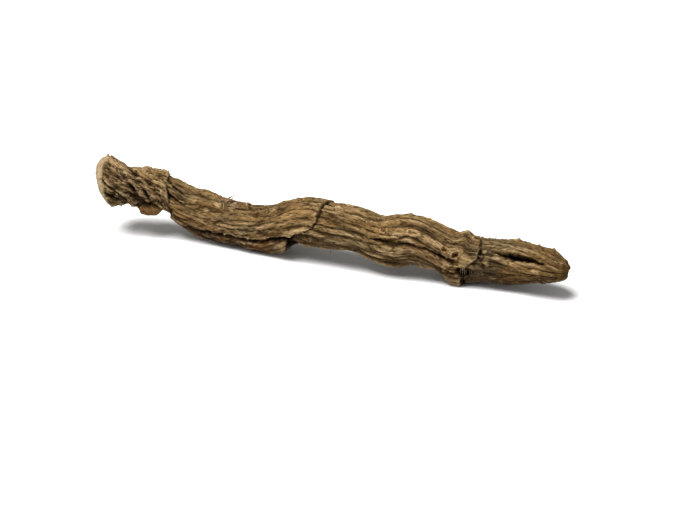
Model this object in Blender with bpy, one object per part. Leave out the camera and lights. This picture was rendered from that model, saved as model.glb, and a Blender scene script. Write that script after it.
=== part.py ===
"""Calamus root: one dried piece of a sweet flag's rootstock, lying on a surface.

The piece is a bent, slightly flattened stem about 155 mm long and 14 mm thick.
+X runs along it from the pale cut end to the weathered end, -Y is its front,
+Z is up, and the origin is under the middle of its bounding box, on the
surface. Sizes are in millimetres and turned to metres when the mesh is made.

The skin is one closed grid of rings round a bent centre line. A ring's angle
is 0 at the front, 90 at the top, 180 at the back and -90 underneath.
"""

import bpy
import numpy as np

NAME = "rhizome"
MM = 0.001

# Driving sizes
GIRTH_RADIUS = 7.0
BED_HEIGHT = -12.6
BED_SHARE = 0.7
BED_THICKNESS = 8.0
CUT_TURN = 11.0
CUT_RISE = 8.0
CUT_DOME = (2.7, 2.6, 0.5, 0.45)
TIP_DOME = (1.5, 2.0, 0.0, 1.2)
END_DROP = -6.0
END_BLEND = 14.0
SLOPE_REACH = 6.0

# Grid and triangle budget
RING_STEP = 0.36
RING_POINTS = 150
END_SHARES = (0.985, 0.96, 0.92, 0.86, 0.79, 0.71, 0.62, 0.52, 0.42, 0.32, 0.22, 0.12, 0.05)
TRIANGLE_BUDGET = 11300
FINE_SPOT_REACH = 1.15
FINE_SPOT_WEIGHT = 0.25
FINE_SPOT_FACTOR = 1.0

# Centre line and section: along, side, height, half height, half depth
STATIONS = (
    (-75.5, -4.4, 4.5, 7.8, 7.4),
    (-71.5, -3.4, 3.5, 6.0, 6.7),
    (-62.0, -1.2, 1.9, 5.9, 6.4),
    (-57.0, -0.2, 0.8, 5.8, 6.4),
    (-52.0, 0.5, -1.9, 6.3, 6.8),
    (-46.0, 0.9, -3.9, 7.2, 7.0),
    (-39.0, 1.0, -5.5, 7.0, 7.0),
    (-29.0, 0.6, -6.0, 6.7, 7.0),
    (-22.0, 0.2, -5.1, 6.9, 7.2),
    (-15.0, -0.2, -2.5, 6.8, 7.4),
    (-9.0, -0.4, -0.9, 7.2, 7.4),
    (0.0, -0.8, -0.8, 7.2, 7.3),
    (8.5, -1.0, -0.9, 6.8, 7.2),
    (15.0, -0.8, -2.3, 7.0, 7.4),
    (20.0, -0.6, -2.3, 7.9, 7.6),
    (27.3, -0.1, -1.2, 7.0, 7.3),
    (33.0, 0.4, -2.9, 6.5, 7.3),
    (37.5, 0.7, -4.8, 7.2, 7.4),
    (42.0, 1.0, -5.0, 8.2, 7.5),
    (44.0, 1.1, -5.4, 7.3, 7.3),
    (46.0, 1.3, -5.3, 6.9, 7.2),
    (52.0, 1.5, -4.9, 6.8, 6.8),
    (59.0, 1.0, -3.9, 6.4, 6.4),
    (66.0, 0.3, -3.1, 5.4, 5.8),
    (70.5, -0.4, -3.0, 4.4, 4.9),
    (73.0, -1.0, -3.1, 3.0, 3.8),
)

# Nodes: the wavy line of each round the stem, as angle, place along the stem
# and how far the skin before it stands proud of the skin after it
NODE_ONE = (
    (-150, -57.5, 0.0),
    (-90, -54.8, -2.0),
    (-40, -53.4, -2.0),
    (-10, -53.6, -0.6),
    (7, -54.6, 0.2),
    (24, -55.7, 0.4),
    (38, -56.8, 0.4),
    (58, -57.8, 0.3),
    (82, -58.2, 0.5),
    (111, -58.9, 0.6),
    (170, -59.2, 0.4),
)
NODE_TWO = (
    (-130, -6.0, 0.7),
    (-90, -12.6, 1.6),
    (-60, -16.3, 2.4),
    (-30, -14.2, 2.2),
    (-19, -12.8, 1.4),
    (-8, -9.6, 0.5),
    (0, -6.7, 0.3),
    (12, -4.1, 0.4),
    (38, -3.1, 0.5),
    (70, -2.7, 0.5),
    (96, -2.5, 0.5),
    (120, -1.8, 0.5),
    (170, -2.5, 0.5),
)
NODE_THREE = (
    (-140, 45.0, 0.2),
    (-90, 44.0, 0.3),
    (-40, 42.4, 0.6),
    (0, 43.4, 0.7),
    (12, 45.2, 0.6),
    (26, 47.0, 0.5),
    (50, 47.8, 0.4),
    (65, 47.4, 0.3),
    (101, 46.0, 0.3),
    (180, 45.0, 0.3),
)
NODES = (NODE_ONE, NODE_TWO, NODE_THREE)
NODE_CRACK_LEVELS = (0.30, 0.55, 0.55)
NODE_CRACK_MOST = 1.3
NODE_CRACK_DEPTH = 0.8
NODE_CRACK_WIDTH = 0.36
NODE_CRACK_PLACE = 0.2
NODE_STEP_WIDTH = 0.5
NODE_STEP_PLACE = -0.15
NODE_LIP_FADE = 6.0
STRETCH_EDGE = 0.6

# The four stretches between nodes: twist of the grain in degrees per mm,
# crease length, crease depth, crease spacing and depth of the crumbled skin
STRETCHES = (
    (-3.0, 9.0, 1.35, 2.1, 0.80),
    (0.7, 16.0, 0.85, 2.0, 0.18),
    (-0.5, 24.0, 1.25, 2.1, 0.20),
    (-1.0, 17.0, 0.95, 2.3, 0.22),
)
CREASE_MEAN = 0.55
RIB_SHARE = 0.35
RIB_LENGTH_RATIO = 2.0
RIB_SPACING_RATIO = 1.9
CRUMBLE_LENGTH_RATIO = 1.4
CREASE_SEED, RIB_SEED, CRUMBLE_SEED = 40, 50, 60
CREASE_SHARPNESS = 0.28
CRUMBLE_SIZE = 2.3

# Fissures: depth, how broken each is, then its points as place, angle and half width
FISSURES = (
    (1.6, 0.15, ((-53.0, -60, 0.5), (-50.0, -52, 0.7), (-46.7, -34, 0.7), (-43.5, -32, 0.6),
                 (-39.8, -18, 0.6), (-36.0, -13, 0.6), (-32.5, -12, 0.6), (-29.7, -15, 0.6),
                 (-25.6, -15, 0.7), (-21.0, -17, 0.8), (-15.3, -19, 0.8), (-13.2, -22, 0.8))),
    (1.5, 0.6, ((8.0, 24, 0.3), (14.2, 22, 0.6), (18.6, 19, 0.7), (24.3, 12, 0.8), (27.2, 10, 0.8),
                (30.8, 12, 0.7), (35.2, 14, 0.7), (37.7, 14, 0.8), (41.0, 5, 0.9))),
    (3.2, 0.0, ((53.0, 46, 0.2), (55.0, 43, 0.8), (57.5, 41, 1.3), (60.7, 38, 1.4), (63.5, 33, 1.2),
                (66.9, 31, 0.8), (69.0, 31, 0.4))),
    (1.7, 0.6, ((-72.0, 54, 0.3), (-68.6, 44, 0.6), (-66.6, 20, 0.8), (-63.7, -7, 0.6),
                (-62.0, -20, 0.3))),
    (1.6, 0.6, ((-66.0, 50, 0.3), (-63.7, 29, 0.6), (-61.0, -3, 0.7), (-59.5, -20, 0.4))),
    (1.3, 0.6, ((-64.5, 62, 0.3), (-62.0, 44, 0.6), (-59.0, 28, 0.6))),
    (1.4, 0.5, ((-77.0, 22, 0.4), (-73.5, 15, 0.6), (-70.5, -5, 0.5), (-68.0, -25, 0.5))),
    (1.6, 0.5, ((-76.0, -2, 0.8), (-73.0, -18, 1.1), (-69.5, -40, 0.7), (-66.0, -62, 0.4))),
    (1.1, 0.5, ((-75.0, 120, 0.4), (-70.0, 95, 0.7), (-65.5, 68, 0.5))),
    (1.2, 0.5, ((-74.0, -110, 0.5), (-68.0, -150, 0.8), (-63.0, 178, 0.5))),
    (1.2, 0.6, ((-50.0, 150, 0.3), (-40.0, 158, 0.7), (-28.0, 168, 0.8), (-14.0, 172, 0.5))),
    (1.2, 0.7, ((0.0, -70, 0.3), (8.0, -76, 0.7), (18.0, -80, 0.8), (30.0, -72, 0.7), (40.0, -66, 0.5))),
    (1.1, 0.7, ((6.0, 140, 0.3), (16.0, 134, 0.6), (28.0, 130, 0.7), (38.0, 122, 0.4))),
    (1.5, 0.4, ((50.0, -150, 0.4), (57.0, -154, 0.8), (65.0, -160, 0.9), (72.0, -168, 0.5))),
)
FISSURE_REACH = 1.5
FISSURE_PATCH_LEVEL = 0.5

# Round scars of fallen rootlets: place, angle, half length, half width, rim height, pit
# depth. Where the depth is below zero the scar has healed to a small mound.
ROOTLET_SCARS = (
    (35.9, 34, 1.15, 1.0, 0.30, 1.3),
    (39.9, 26, 1.65, 1.3, 0.42, 1.8),
    (33.4, 39, 2.0, 1.1, 0.12, -0.2),
    (32.9, 38, 0.35, 0.35, 0.0, 0.6),
    (34.2, 40, 0.35, 0.30, 0.0, 0.5),
    (26.9, 41, 1.8, 1.1, 0.28, 0.4),
    (25.8, 22, 2.2, 1.0, 0.12, -0.25),
    (22.2, 34, 1.8, 0.8, 0.10, -0.25),
    (17.9, 46, 1.5, 1.0, 0.30, 0.6),
    (17.9, 65, 1.9, 0.7, 0.25, 0.3),
    (-19.9, 77, 0.7, 0.8, 0.25, 0.5),
    (-17.5, 72, 1.6, 1.1, 0.32, 0.9),
    (-10.3, 88, 1.5, 0.9, 0.30, 1.0),
    (-39.7, 64, 1.7, 1.1, 0.30, -0.3),
    (-42.7, 41, 1.3, 0.7, 0.15, -0.2),
    (-49.3, 49, 1.4, 1.0, 0.25, -0.2),
    (49.6, 48, 0.9, 0.8, 0.20, -0.2),
    (53.9, 31, 1.5, 0.8, 0.20, -0.25),
    (50.3, 22, 1.4, 0.9, 0.25, -0.2),
    (50.7, 12, 0.9, 0.6, 0.20, -0.2),
    (66.5, 43, 0.55, 0.5, 0.05, 0.9),
    (66.2, 2, 1.8, 0.9, 0.12, -0.25),
    (-26.0, 150, 1.5, 1.2, 0.30, 0.7),
    (-20.0, 128, 1.2, 1.0, 0.25, 0.3),
    (3.0, 165, 1.6, 1.2, 0.35, 0.9),
    (27.0, 172, 1.4, 1.5, 0.38, 1.1),
    (41.0, 140, 1.3, 1.0, 0.22, 0.4),
    (61.0, 125, 1.2, 1.0, 0.28, 0.6),
    (-47.0, -110, 1.6, 1.2, 0.38, 0.8),
    (-43.0, -78, 1.2, 1.2, 0.22, 0.3),
    (-24.0, -120, 1.7, 1.4, 0.38, 1.0),
    (-17.0, -70, 1.2, 1.0, 0.28, 0.5),
    (-2.0, -115, 1.5, 1.4, 0.38, 1.1),
    (5.0, -48, 1.2, 1.0, 0.22, 0.4),
    (12.0, -130, 1.4, 1.1, 0.30, 0.7),
    (24.0, -104, 1.6, 1.4, 0.38, 0.9),
    (30.0, -40, 1.1, 0.9, 0.20, 0.3),
    (52.0, -70, 1.3, 1.2, 0.32, 0.8),
    (58.0, -110, 1.6, 1.3, 0.32, 1.0),
    (65.0, -55, 1.1, 1.0, 0.20, 0.4),
)
RIM_PLACE = 0.86
RIM_WIDTH = 0.16
PIT_SHARE = 0.66
PIT_WALL = 0.26

# Bent ridges left by fallen leaves: place, middle angle, half span, height
LEAF_SCARS = (
    (-69.0, 165, 50, 0.35),
    (-44.0, 175, 60, 0.50),
    (-31.0, 120, 50, 0.40),
    (-10.0, 165, 60, 0.45),
    (12.0, 175, 60, 0.50),
    (24.0, 110, 50, 0.40),
    (34.0, 170, 55, 0.45),
    (57.0, 150, 55, 0.45),
)
LEAF_SCAR_BEND = 3.0
LEAF_SCAR_WIDTH = 0.5
LEAF_SCAR_SHELF = 0.8
LEAF_SCAR_SHELF_FADE = 2.5
LEAF_SCAR_LEVEL = 0.75
LEAF_SCAR_MOST = 1.2
LEAF_SCAR_END = 1.1
LEAF_SCAR_END_FADE = 0.7

# Stump of a side shoot cut off under the first node
STUB_PLACE = -60.4
STUB_ANGLE = -46.0
STUB_HALF_LENGTH = 4.5
STUB_HALF_WIDTH = 3.0
STUB_HEIGHT = 2.1
STUB_EDGE = 1.05
STUB_SHOULDER = 0.4
STUB_FOOT_PLACE = 1.15
STUB_FOOT_WIDTH = 0.12
STUB_FOOT_DEPTH = 0.5
STUB_CALM = 0.9
STUB_CALM_REACH = 1.3

# Pale rim round the cut end, where the creases fade
RIM_LENGTH = 0.3
RIM_CALM = 0.85
RIM_FADE = 0.5

# Hollows: place, angle, half length, half width, depth. The first is torn open at
# the third node, and the others are where the underside has shrunk in.
HOLLOWS = (
    (43.4, -12, 3.2, 1.9, 2.2),
    (-13.2, -72, 4.6, 6.5, 2.2),
    (35.8, -66, 4.0, 6.0, 1.9),
    (-54.5, -110, 4.0, 4.0, 0.8),
    (-56.0, -64, 2.2, 4.5, 1.3),
)
HOLLOW_REACH = 1.1

# Noise fields: amount, length along the grain, spacing across it, and seed
LOBES = (0.6, 26.0, 9.0, 81)
NODE_SWAY = (1.0, 1.0, 2.4, 11)
NODE_RIPPLE = (0.35, 1.0, 0.8, 12)
NODE_RAGGEDNESS = (1.4, 2.0, 2.0, 20)
GRAIN_SWAY = (8.0, 18.0, 7.0, 31)
GRAIN_SWIRL = (16.0, 5.0, 3.0, 34)
FISSURE_SWAY = (0.5, 3.0, 6.0, 71)
FISSURE_RIPPLE = (0.9, 1.3, 1.0, 72)
FISSURE_PATCHES = (1.8, 3.5, 3.0, 73)
SCAR_UNEVENNESS = (0.16, 1.3, 1.1, 75)
LEAF_SCAR_WAVE = (1.2, 1.0, 2.0, 76)
LEAF_SCAR_PATCHES = (1.6, 1.0, 2.6, 77)
RIM_WAVE = (0.9, 1.0, 2.2, 191)
TISSUE_SIZE = 1.6
TISSUE_EDGE = 6
CUT_SEED, TIP_SEED = 91, 93

# Whole numbers that mix the noise's lattice places into pseudo-random ones
PLACE_MIX = (374761393, 668265263, 1274126177)
SEED_MIX = 974634777
BIT_MIX = 1103515245
BITS = 0xFFFFFFFF


def read_curve(table, column, along):
    """Reads one column of a table as a smooth curve over its first column."""
    rows = np.asarray(table, float)
    places, values = rows[:, 0], rows[:, column]
    slopes = np.gradient(values, places)
    left = np.clip(np.searchsorted(places, along) - 1, 0, len(places) - 2)
    span = places[left + 1] - places[left]
    t = np.clip((along - places[left]) / span, 0.0, 1.0)
    rise = 3 * t**2 - 2 * t**3
    return (
        values[left] * (1 - rise)
        + values[left + 1] * rise
        + slopes[left] * span * (t**3 - 2 * t**2 + t)
        + slopes[left + 1] * span * (t**3 - t**2)
    )


def ease(value):
    """Smooth step from 0 to 1."""
    t = np.clip(value, 0.0, 1.0)
    return t * t * (3 - 2 * t)


def wrap(angle):
    """Brings an angle in degrees between -180 and 180."""
    return (angle + 180.0) % 360.0 - 180.0


def corner_slopes(cell, seed):
    """A repeatable pseudo-random slope for each corner of the noise's lattice."""
    mixed = sum(cell[..., axis] * factor for axis, factor in enumerate(PLACE_MIX))
    mixed = (mixed + seed * SEED_MIX) & BITS
    mixed = ((mixed ^ (mixed >> 13)) * BIT_MIX) & BITS
    mixed = mixed ^ (mixed >> 16)
    return np.stack([((mixed >> shift) & 255) / 127.5 - 1.0 for shift in (0, 8, 16)], axis=-1)


def noise(points, seed):
    """Smooth gradient noise, between about -1 and 1."""
    cell = np.floor(points).astype(np.int64)
    inside = points - cell
    blend = inside**3 * (inside * (inside * 6 - 15) + 10)
    total = np.zeros(points.shape[:-1])
    for corner in np.ndindex(2, 2, 2):
        step = np.array(corner)
        weight = np.prod(np.where(step == 1, blend, 1 - blend), axis=-1)
        total += weight * np.sum(corner_slopes(cell + step, seed) * (inside - step), axis=-1)
    return total


def grain_points(along, angle, length, spacing, twist=0.0):
    """Places on the stem as if straight, stretched so that noise runs along the grain."""
    turned = np.radians(angle - twist * along)
    return np.stack(
        [along / length, GIRTH_RADIUS / spacing * np.cos(turned), GIRTH_RADIUS / spacing * np.sin(turned)],
        axis=-1,
    )


def field(settings, along, angle, number=0):
    """One of the noise fields at each place. number picks a sister field."""
    amount, length, spacing, seed = settings
    return amount * noise(grain_points(along, angle, length, spacing), seed + number)


def spot_distance(along, angle, place, middle, half_length, half_width):
    """Distance from a spot on the skin, as a share of an oval's half length and half width."""
    across = np.radians(wrap(angle - middle)) * GIRTH_RADIUS
    return np.hypot((along - place) / half_length, across / half_width)


def node_columns(node, along, angle):
    """Distance past a node's wavy line, and the step in the skin there."""
    rows = np.asarray(node, float)
    line = np.interp(angle, rows[:, 0], rows[:, 1], period=360)
    step = np.interp(angle, rows[:, 0], rows[:, 2], period=360)
    level = np.full_like(along, rows[0, 1])
    wander = field(NODE_SWAY, level, angle) + field(NODE_RIPPLE, level, angle)
    return along - line - wander, step


def stretch_weights(along, angle):
    """How much each stretch counts at a place: 1 inside it, 0 elsewhere."""
    passed = [ease(node_columns(node, along, angle)[0] / STRETCH_EDGE + 0.5) for node in NODES]
    edges = [np.ones_like(along)] + passed + [np.zeros_like(along)]
    return [edges[i] - edges[i + 1] for i in range(len(STRETCHES))]


def node_relief(along, angle):
    """A crack along each node's line, and the raised lip before it."""
    relief = np.zeros_like(along)
    for number, node in enumerate(NODES):
        past, step = node_columns(node, along, angle)
        level = NODE_CRACK_LEVELS[number] + field(NODE_RAGGEDNESS, along, angle, number)
        ragged = np.clip(level, 0.0, NODE_CRACK_MOST)
        before = np.exp(np.minimum(past, 0.0) / NODE_LIP_FADE)
        lip = step * before * (1 - ease((past - NODE_STEP_PLACE) / NODE_STEP_WIDTH))
        crack = ragged * np.exp(-(((past - NODE_CRACK_PLACE) / NODE_CRACK_WIDTH) ** 2))
        relief += lip - NODE_CRACK_DEPTH * crack
    return relief


def crease_relief(along, angle):
    """Long creases and crumbled skin, with their own grain in each stretch."""
    relief = np.zeros_like(along)
    wander = field(GRAIN_SWAY, along, angle)
    swirl = field(GRAIN_SWIRL, along, angle)
    for number, (weight, stretch) in enumerate(zip(stretch_weights(along, angle), STRETCHES)):
        twist, length, depth, spacing, crumble = stretch
        spot = angle + wander + crumble * swirl
        fold_places = grain_points(along, spot, length, spacing, twist)
        rib_places = grain_points(along, spot, RIB_LENGTH_RATIO * length, RIB_SPACING_RATIO * spacing, twist)
        grit_places = grain_points(along, angle, CRUMBLE_LENGTH_RATIO * CRUMBLE_SIZE, CRUMBLE_SIZE, twist)
        folds = noise(fold_places, CREASE_SEED + number)
        ribs = noise(rib_places, RIB_SEED + number)
        grit = noise(grit_places, CRUMBLE_SEED + number)
        creases = 1.0 - np.exp(-np.abs(folds) / CREASE_SHARPNESS)
        relief += weight * (depth * (creases - CREASE_MEAN) + RIB_SHARE * depth * ribs + crumble * grit)
    return relief


def stroke_distance(along, angle, start, end):
    """Distance to a straight stroke on the unrolled skin, and how far along the stroke."""
    across = np.radians(wrap(angle - start[1])) * GIRTH_RADIUS
    run = np.array([end[0] - start[0], np.radians(wrap(end[1] - start[1])) * GIRTH_RADIUS])
    share = ((along - start[0]) * run[0] + across * run[1]) / (run @ run)
    share = np.clip(share, 0.0, 1.0)
    return np.hypot(along - start[0] - share * run[0], across - share * run[1]), share


def fissure_relief(along, angle):
    """Deep V-shaped splits, each along its own line."""
    relief = np.zeros_like(along)
    sway = field(FISSURE_SWAY, along, angle) + field(FISSURE_RIPPLE, along, angle)
    swayed = angle + np.degrees(sway / GIRTH_RADIUS)
    patchy = ease(FISSURE_PATCH_LEVEL - field(FISSURE_PATCHES, along, angle))
    for depth, broken, points in FISSURES:
        widest = max(point[2] for point in points)
        cut = np.zeros_like(along)
        for start, end in zip(points, points[1:]):
            away, share = stroke_distance(along, swayed, start, end)
            width = start[2] + (end[2] - start[2]) * share
            cut = np.maximum(cut, width / widest * ease(1.0 - away / (FISSURE_REACH * width)))
        relief -= depth * cut * (1.0 - broken * patchy)
    return relief


def scar_relief(along, angle):
    """Rimmed pits of fallen rootlets, and bent ridges of fallen leaves."""
    relief = np.zeros_like(along)
    uneven = field(SCAR_UNEVENNESS, along, angle)
    for place, middle, half_length, half_width, rim, pit in ROOTLET_SCARS:
        away = spot_distance(along, angle, place, middle, half_length, half_width) + uneven
        relief += rim * np.exp(-(((away - RIM_PLACE) / RIM_WIDTH) ** 2))
        relief -= pit * ease((PIT_SHARE - away) / PIT_WALL + 0.5)
    for place, middle, half_span, height in LEAF_SCARS:
        level = np.full_like(along, place)
        aside = np.abs(wrap(angle - middle)) / half_span
        bent = along - place - LEAF_SCAR_BEND * aside**1.5 - field(LEAF_SCAR_WAVE, level, angle)
        ridge = np.exp(-((bent / LEAF_SCAR_WIDTH) ** 2))
        shelf = LEAF_SCAR_SHELF * np.exp(-np.abs(bent) / LEAF_SCAR_SHELF_FADE) * (bent < 0)
        kept = np.clip(LEAF_SCAR_LEVEL + field(LEAF_SCAR_PATCHES, level, angle), 0.0, LEAF_SCAR_MOST)
        relief += height * (ridge + shelf) * kept * ease((LEAF_SCAR_END - aside) / LEAF_SCAR_END_FADE)
    return relief


def stub_distance(along, angle):
    """Distance from the middle of the stump, as a share of its size."""
    return spot_distance(along, angle, STUB_PLACE, STUB_ANGLE, STUB_HALF_LENGTH, STUB_HALF_WIDTH)


def stub_relief(along, angle):
    """The flat-topped stump under the first node, with a crease round its foot."""
    away = stub_distance(along, angle)
    foot = np.exp(-(((away - STUB_FOOT_PLACE) / STUB_FOOT_WIDTH) ** 2))
    return STUB_HEIGHT * ease((STUB_EDGE - away) / STUB_SHOULDER) - STUB_FOOT_DEPTH * foot


def hollow_relief(along, angle):
    """Smooth hollows in the skin."""
    relief = np.zeros_like(along)
    for *spot, depth in HOLLOWS:
        relief -= depth * ease(HOLLOW_REACH - spot_distance(along, angle, *spot))
    return relief


def skin_relief(along, angle):
    """All the relief of the skin, in mm out from the plain section."""
    calm = 1.0 - STUB_CALM * ease(STUB_CALM_REACH - stub_distance(along, angle))
    relief = (
        field(LOBES, along, angle)
        + calm * (crease_relief(along, angle) + node_relief(along, angle))
        + fissure_relief(along, angle)
        + scar_relief(along, angle)
        + stub_relief(along, angle)
        + hollow_relief(along, angle)
    )
    rim_end = STATIONS[0][0] + RIM_LENGTH + field(RIM_WAVE, np.zeros_like(along), angle)
    near_cut = ease((rim_end - along) / RIM_FADE + 0.5)
    return relief * (1.0 - RIM_CALM * near_cut)


def ring_frames(along):
    """Centre, axis, sideways and upward directions of each ring."""
    first, last = STATIONS[0][0], STATIONS[-1][0]
    centre = np.stack([along, read_curve(STATIONS, 1, along), read_curve(STATIONS, 2, along)], axis=-1)
    before = np.maximum(along - SLOPE_REACH, first)
    after = np.minimum(along + SLOPE_REACH, last)
    rise = [read_curve(STATIONS, column, after) - read_curve(STATIONS, column, before) for column in (1, 2)]
    axis = np.stack([after - before, rise[0], rise[1]], axis=-1)
    axis /= np.linalg.norm(axis, axis=-1, keepdims=True)
    turn, cut_rise, drop = np.radians(CUT_TURN), np.radians(CUT_RISE), np.radians(END_DROP)
    cut_axis = np.array([np.cos(turn) * np.cos(cut_rise), np.sin(turn) * np.cos(cut_rise), np.sin(cut_rise)])
    end_axis = np.array([np.cos(drop), 0.0, -np.sin(drop)])
    cut_share = np.clip(1 - (along - first) / END_BLEND, 0, 1)[:, None] ** 1.5
    end_share = np.clip(1 - (last - along) / END_BLEND, 0, 1)[:, None] ** 1.5
    axis = axis * (1 - cut_share - end_share) + cut_axis * cut_share + end_axis * end_share
    axis /= np.linalg.norm(axis, axis=-1, keepdims=True)
    upward = np.array([0.0, 0.0, 1.0]) - axis * axis[:, 2:3]
    upward /= np.linalg.norm(upward, axis=-1, keepdims=True)
    return centre, axis, np.cross(axis, upward), upward


def skin_places():
    """Place along the stem and angle of every point of the skin's grid."""
    first, last = STATIONS[0][0], STATIONS[-1][0]
    along = np.linspace(first, last, int((last - first) / RING_STEP) + 1)
    angle = np.linspace(-180.0, 180.0, RING_POINTS, endpoint=False)
    return np.meshgrid(along, angle, indexing="ij")


def skin_grid():
    """Rings of points over the whole stem, from the cut end to the far end."""
    along, angle = skin_places()
    relief = skin_relief(along, angle)
    centre, axis, side, upward = ring_frames(along[:, 0])
    half_height = read_curve(STATIONS, 3, along) + relief
    half_depth = read_curve(STATIONS, 4, along) + relief
    rings = (
        centre[:, None]
        + side[:, None] * (half_depth * np.cos(np.radians(angle)))[..., None]
        + upward[:, None] * (half_height * np.sin(np.radians(angle)))[..., None]
    )
    return rings, axis


def end_rings(ring, axis, dome, seed):
    """Rings that close an end, from the rim inward: a round shoulder, then rough tissue.

    The dome's numbers are its height, how flat its middle is, how much higher its upper
    half is, and the height of the rough tissue.
    """
    bulge, power, lean, rough = dome
    middle = ring.mean(axis=0)
    rings = []
    for share in END_SHARES:
        points = middle + (ring - middle) * share
        upper = 1.0 + lean * (points[:, 2] - middle[2]) / GIRTH_RADIUS
        lift = bulge * upper * (1 - share**power) ** 0.5
        lift += rough * noise(points / TISSUE_SIZE, seed) * (1 - share**TISSUE_EDGE)
        rings.append(points + axis * lift[:, None])
    return rings


def whole_rings():
    """All rings of the root, both closed ends included."""
    rings, axis = skin_grid()
    cut = end_rings(rings[0], -axis[0], CUT_DOME, CUT_SEED)
    tip = end_rings(rings[-1], axis[-1], TIP_DOME, TIP_SEED)
    return cut[::-1] + list(rings) + tip


def closed_mesh(rings):
    """Joins rings of equal length into one closed mesh, with a point at each end."""
    count = RING_POINTS
    points = np.concatenate(rings + [rings[0].mean(axis=0)[None], rings[-1].mean(axis=0)[None]])
    first_pole, last_pole = len(points) - 2, len(points) - 1
    around = np.arange(count)
    onward = (around + 1) % count
    faces = []
    for row in range(len(rings) - 1):
        near, far = row * count, (row + 1) * count
        faces += np.stack([near + around, near + onward, far + onward, far + around], axis=-1).tolist()
    last_row = (len(rings) - 1) * count
    faces += [(first_pole, b, a) for a, b in zip(around.tolist(), onward.tolist())]
    faces += [(last_pole, last_row + a, last_row + b) for a, b in zip(around.tolist(), onward.tolist())]
    return points, faces


def fine_spots():
    """Numbers of the points round the rootlet scars, where small triangles are kept."""
    along, angle = skin_places()
    near = np.zeros(along.shape, bool)
    for *spot, _, _ in ROOTLET_SCARS:
        near |= spot_distance(along, angle, *spot) < FINE_SPOT_REACH
    return (np.flatnonzero(near) + len(END_SHARES) * RING_POINTS).tolist()


def build_material():
    """Dull tan bark."""
    material = bpy.data.materials.new(NAME)
    material.use_nodes = True
    shader = material.node_tree.nodes["Principled BSDF"]
    shader.inputs["Base Color"].default_value = (0.165, 0.102, 0.046, 1.0)
    shader.inputs["Roughness"].default_value = 0.85
    shader.inputs["Metallic"].default_value = 0.0
    return material


def build_bed_cutter(length):
    """A slab under the surface that planes the low spots flat."""
    half = BED_SHARE * length
    corners = [
        (x * half * MM, y * half * MM, z * MM)
        for x in (-1, 1) for y in (-1, 1) for z in (-BED_THICKNESS, 0.0)
    ]
    faces = [(0, 1, 3, 2), (4, 6, 7, 5), (0, 4, 5, 1), (2, 3, 7, 6), (0, 2, 6, 4), (1, 5, 7, 3)]
    mesh = bpy.data.meshes.new("bed_cutter")
    mesh.from_pydata(corners, [], faces)
    cutter = bpy.data.objects.new("bed_cutter", mesh)
    bpy.context.collection.objects.link(cutter)
    cutter.hide_render = True
    cutter.display_type = "WIRE"
    return cutter


def build_root():
    """The whole root as one closed body, planed flat where it rests."""
    points, faces = closed_mesh(whole_rings())
    low, high = points.min(axis=0), points.max(axis=0)
    middle = (low + high) / 2
    points -= np.array([middle[0], middle[1], BED_HEIGHT])
    mesh = bpy.data.meshes.new(NAME)
    mesh.from_pydata((points * MM).tolist(), [], faces)
    mesh.shade_smooth()
    root = bpy.data.objects.new(NAME, mesh)
    bpy.context.collection.objects.link(root)
    mesh.materials.append(build_material())

    coarse = root.vertex_groups.new(name="coarse_skin")
    coarse.add(list(range(len(points))), 1.0, "REPLACE")
    coarse.add(fine_spots(), FINE_SPOT_WEIGHT, "REPLACE")
    thin = root.modifiers.new("fewer_triangles", "DECIMATE")
    thin.ratio = TRIANGLE_BUDGET / (2 * len(faces))
    thin.vertex_group = coarse.name
    thin.vertex_group_factor = FINE_SPOT_FACTOR
    plane = root.modifiers.new("flat_low_spots", "BOOLEAN")
    plane.operation = "DIFFERENCE"
    plane.solver = "EXACT"
    plane.object = build_bed_cutter(high[0] - low[0])
    return root


for leftover in list(bpy.data.objects):
    bpy.data.objects.remove(leftover)
build_root()
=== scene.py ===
"""Dresses the calamus root: bark, cut end, splits, scars and loose fibres, on a pale floor.

The root is one dried piece of a sweet flag's rootstock, 155 mm long. +X runs along it from
the pale cut end to the weathered end, -Y is its front, +Z is up. Its skin is one closed
grid of rings round a bent centre line, worked out in millimetres. A ring's angle is 0 at
the front, 90 at the top, 180 at the back and -90 underneath.
"""

from __future__ import annotations

import logging
import math
from dataclasses import dataclass, field, fields, replace
from enum import Enum

import bpy
import numpy as np
from mathutils import Matrix, Vector

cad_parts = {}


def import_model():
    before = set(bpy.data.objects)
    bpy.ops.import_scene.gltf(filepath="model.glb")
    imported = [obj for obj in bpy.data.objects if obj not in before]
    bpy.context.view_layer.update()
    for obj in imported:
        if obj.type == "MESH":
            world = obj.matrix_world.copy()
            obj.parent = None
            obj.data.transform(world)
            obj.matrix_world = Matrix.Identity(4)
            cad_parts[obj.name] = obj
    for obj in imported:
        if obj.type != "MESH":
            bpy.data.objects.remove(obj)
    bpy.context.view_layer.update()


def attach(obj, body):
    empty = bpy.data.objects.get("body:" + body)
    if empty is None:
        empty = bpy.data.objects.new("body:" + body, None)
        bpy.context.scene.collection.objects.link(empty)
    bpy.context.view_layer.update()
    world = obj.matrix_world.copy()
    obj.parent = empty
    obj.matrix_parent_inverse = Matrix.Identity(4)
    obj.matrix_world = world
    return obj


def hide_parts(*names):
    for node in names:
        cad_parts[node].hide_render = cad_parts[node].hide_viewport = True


LOG = logging.getLogger("calamus_root")
MM = 0.001

Array = np.ndarray
Colour = tuple[float, float, float, float]
Row = tuple[float, ...]
Table = tuple[Row, ...]
Socket = bpy.types.NodeSocket


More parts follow.
